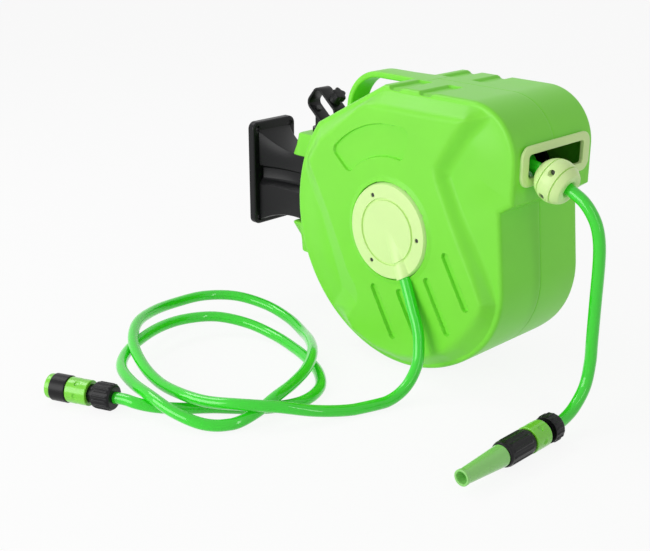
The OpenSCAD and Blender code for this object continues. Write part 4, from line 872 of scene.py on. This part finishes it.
# Drum and its fittings inside the case. Black mouldings on a hollow shaft, with a zinc plated steel spring,
# arbor and pawl; the screws that close the case and its cover are blackened.
zinc = bpy.data.materials.new("zinc_steel")
zinc.use_nodes = True
tree = zinc.node_tree
shader = tree.nodes["Principled BSDF"]
shader.inputs["Metallic"].default_value = 1.0
place = add_node(tree, "TexCoord")
drawn = add_node(tree, "TexNoise", Scale=260.0, Detail=4.0)
tone = add_node(tree, "ValToRGB")
tone.color_ramp.elements[0].color = (0.46, 0.46, 0.45, 1)
tone.color_ramp.elements[1].color = (0.66, 0.66, 0.66, 1)
rough = add_node(tree, "MapRange", To_Min=0.28, To_Max=0.46)
join = tree.links.new
join(place.outputs["Object"], drawn.inputs["Vector"])
join(drawn.outputs["Fac"], tone.inputs["Fac"])
join(drawn.outputs["Fac"], rough.inputs["Value"])
join(tone.outputs["Color"], shader.inputs["Base Color"])
join(rough.outputs["Result"], shader.inputs["Roughness"])
seal_rubber = plastic("seal_rubber", (0.022, 0.022, 0.022), 0.75, 500.0, 0.00015)
finish_solids(black_moulding, "left_bush", "water_shaft", "inlet_elbow", "drum_barrel", "drum_left_flange",
              "drum_right_flange", "spring_housing", "spring_cover", "ratchet_ring", "outlet_connector",
              "nozzle_stem", "inlet_connector")
finish_solids(black_steel, "ring_screw", "case_screws", "inlet_cover_screws")
finish_solids(zinc, "flange_screws", "right_bush", "hose_start_pipe", "power_spring", "spring_arbor", "pawl",
              "pawl_pin")
finish_solids(seal_rubber, "union_seal")

# Wound hose. The outer layer is one helix of 5.4 turns on the drum; the layers under it show only as a
# scalloped bed of turns.
wind_pitch = 14.8
turns = np.linspace(5.4, 0, 5 * 64 + 1)
wind_a = lead_turn - 2 * np.pi * turns
wind_line = grid_of(stop_centre[0] + wind_pitch * turns, drum_y + wind_r * np.cos(wind_a),
                    wind_r * np.sin(wind_a))
winding = hose_piece("hose_winding_skin", np.vstack([wind_line, lead_start]), (1, 0, 0), 16)
dress(winding, hose_vinyl, "drum", "hose_green", "hose_winding")
bed_half, bed_in = 53.9, 86.1
bed_x = np.linspace(-bed_half, bed_half, 120)
bed_r = 124.6 + 4.0 * np.sqrt(np.maximum(1 - (2 * ((bed_x / wind_pitch) % 1) - 1) ** 2, 0))
bed_x = np.concatenate([bed_x, [bed_half, -bed_half]])[:, None]
bed_r = np.concatenate([bed_r, [bed_in, bed_in]])[:, None]
bed_turn = full_turn(120)
bed = grid_of(bed_x, drum_y + bed_r * np.cos(bed_turn), bed_r * np.sin(bed_turn))
hose_bed = build_piece("hose_core_skin", [(bed, True)], hose_crease)
dress(hose_bed, hose_vinyl, "drum", "hose_green", "hose_core")

# Hose connectors. A black ribbed nut clamps each hose on its black body, and a bright green sleeve slides
# back to let the fitting go.
fitting_green = plastic("fitting_green", (0.20, 0.70, 0.035), 0.26, 700.0, 0.00005, 0.4, coat=0.4)
inlet_end = (np.array([-406.0, -178.0, -167.0]), np.array([-0.406737, 0.913545, 0.0]))
outlet_end = (np.array([-96.0, -577.0, -167.0]), np.array([-1.0, 0.0, 0.0]))
fitting_outside = 13.0


def edged(profile, soft):
    """Closed profile with each corner cut by two small steps of about soft."""
    profile = np.asarray(profile, float)
    before, after = (unit(np.roll(profile, k, axis=0) - profile) for k in (1, -1))
    rounds = [profile + soft * before, profile + 0.3 * soft * (before + after), profile + soft * after]
    return np.stack(rounds, axis=1).reshape(-1, 2)


def filled(profile, step):
    """Extra points along the long sides of a closed profile, no further than step apart."""
    nxt = np.roll(profile, -1, axis=0)
    count = np.maximum(np.ceil(np.linalg.norm(nxt - profile, axis=1) / step).astype(int), 1)
    return np.concatenate([a + (b - a) * np.linspace(0, 1, n, endpoint=False)[:, None]
                           for a, b, n in zip(profile, nxt, count)])


def turned_piece(name, end, profile, soft, step, columns, relief=None):
    """Closed profile of (distance along the axis, radius), with softened corners and points at most step
    apart, turned about the axis of a hose end; relief(z, turn, r) is added to the radius."""
    origin, axis = end
    u = np.cross([0.0, 0.0, 1.0], axis)
    v = np.cross(axis, u)
    z, r = np.hsplit(filled(edged(profile, soft), step), 2)
    turn = full_turn(columns)[None]
    radius = r + (0 * turn if relief is None else relief(z, turn, r))
    grid = (origin + z[..., None] * axis + (radius * np.cos(turn))[..., None] * u
            + (radius * np.sin(turn))[..., None] * v)
    return build_piece(name, [(grid, True)])


def off_lines(count, turn, r):
    """Distance round a fitting to the nearest of count even lines along it."""
    pitch = 2 * np.pi / count
    return np.abs((turn + pitch / 2) % pitch - pitch / 2) * np.maximum(r, 1)


def ribs(count, height, half_width, z_from, z_to):
    """Half round ribs along the outside between two stations, standing height over the radius."""
    def relief(z, turn, r):
        bead = np.sqrt(np.maximum(1 - (off_lines(count, turn, r) / half_width) ** 2, 0))
        ends = np.clip(np.minimum(z - z_from, z_to - z) / 1.5, 0, 1)
        return height * bead * np.sqrt(ends) * (r > fitting_outside)
    return relief


def dimples(count, depth, radius, z_mid):
    """Ring of round finger dimples pressed into the outside of a sleeve."""
    def relief(z, turn, r):
        off = np.hypot(off_lines(count, turn, r), z - z_mid)
        return -depth * eased((radius - off) / 0.9) * (r > fitting_outside)
    return relief


for name, end, nut_l, sleeve_z, sleeve_l in (("inlet", inlet_end, 24.0, 32.0, 28.0),
                                             ("outlet", outlet_end, 17.0, 25.0, 26.0)):
    nut = [[0, 7.1], [0, 14.2], [2.0, 15.5], [nut_l, 15.5], [nut_l, 10.5], [8, 10.5], [8, 7.1]]
    nut_ribs = ribs(16, 1.0, 1.4, 2.0, nut_l - 2.0)
    piece = turned_piece(name + "_nut_skin", end, nut, 0.5, 1.2, 192, nut_ribs)
    dress(piece, black_moulding, "case", "black", name + "_hose_nut")
    z0, z1 = sleeve_z, sleeve_z + sleeve_l
    sleeve = [[z0, 10.47], [z0, 15.5], [z1, 15.5], [z1, 10.47]]
    sleeve_dimples = dimples(6, 1.5, 3.6, (z0 + z1) / 2)
    piece = turned_piece(name + "_sleeve_skin", end, sleeve, 0.9, 0.7, 192, sleeve_dimples)
    dress(piece, fitting_green, name + "_sleeve", "fitting_green", name + "_release_sleeve")

# Tap adaptor and its seal ring. A black collar that plugs into the inlet connector, threaded for a garden
# tap, with a bright green ring in its mouth.
adaptor = [[49.3, 4.0], [49.3, 8.0], [60.3, 8.0], [60.3, 16.5], [81.3, 16.5], [81.3, 12.0], [66.3, 12.0],
           [66.3, 4.0]]
piece = turned_piece("tap_adaptor_skin", inlet_end, adaptor, 0.6, 1.2, 192)
dress(piece, black_moulding, "case", "black", "tap_adaptor")
seal = [[81.3, 12.4], [81.3, 15.0], [88.3, 15.0], [88.3, 12.4]]
piece = turned_piece("tap_seal_skin", inlet_end, seal, 0.8, 1.2, 128)
dress(piece, fitting_green, "case", "fitting_green", "tap_seal")

# Nozzle. A black ribbed grip that twists on its stem, and a light green tapered tip that runs out with it.
nozzle_green = plastic("nozzle_green", (0.28, 0.70, 0.17), 0.26, 700.0, 0.00005, 0.4, coat=0.4)
grip = [[51.6, 9.06], [51.6, 13.6], [54.0, 14.5], [94.0, 14.5], [96.6, 13.4], [96.6, 10.56], [75.6, 10.56],
        [75.6, 9.06]]
piece = turned_piece("nozzle_grip_skin", outlet_end, grip, 0.5, 1.2, 192, ribs(12, 0.95, 1.6, 57.0, 91.0))
dress(piece, black_moulding, "nozzle_grip", "black", "nozzle_grip")
tip = [[80.9, 7.0], [80.9, 10.5], [96.9, 10.5], [96.9, 12.5], [158.9, 8.74], [158.9, 9.3], [162.9, 9.3],
       [162.9, 7.0], [148.9, 4.0], [115.9, 4.0], [115.9, 7.0]]
piece = turned_piece("nozzle_tip_skin", outlet_end, tip, 0.4, 1.5, 96)
dress(piece, nozzle_green, "nozzle_tip", "fitting_green", "nozzle_tip")
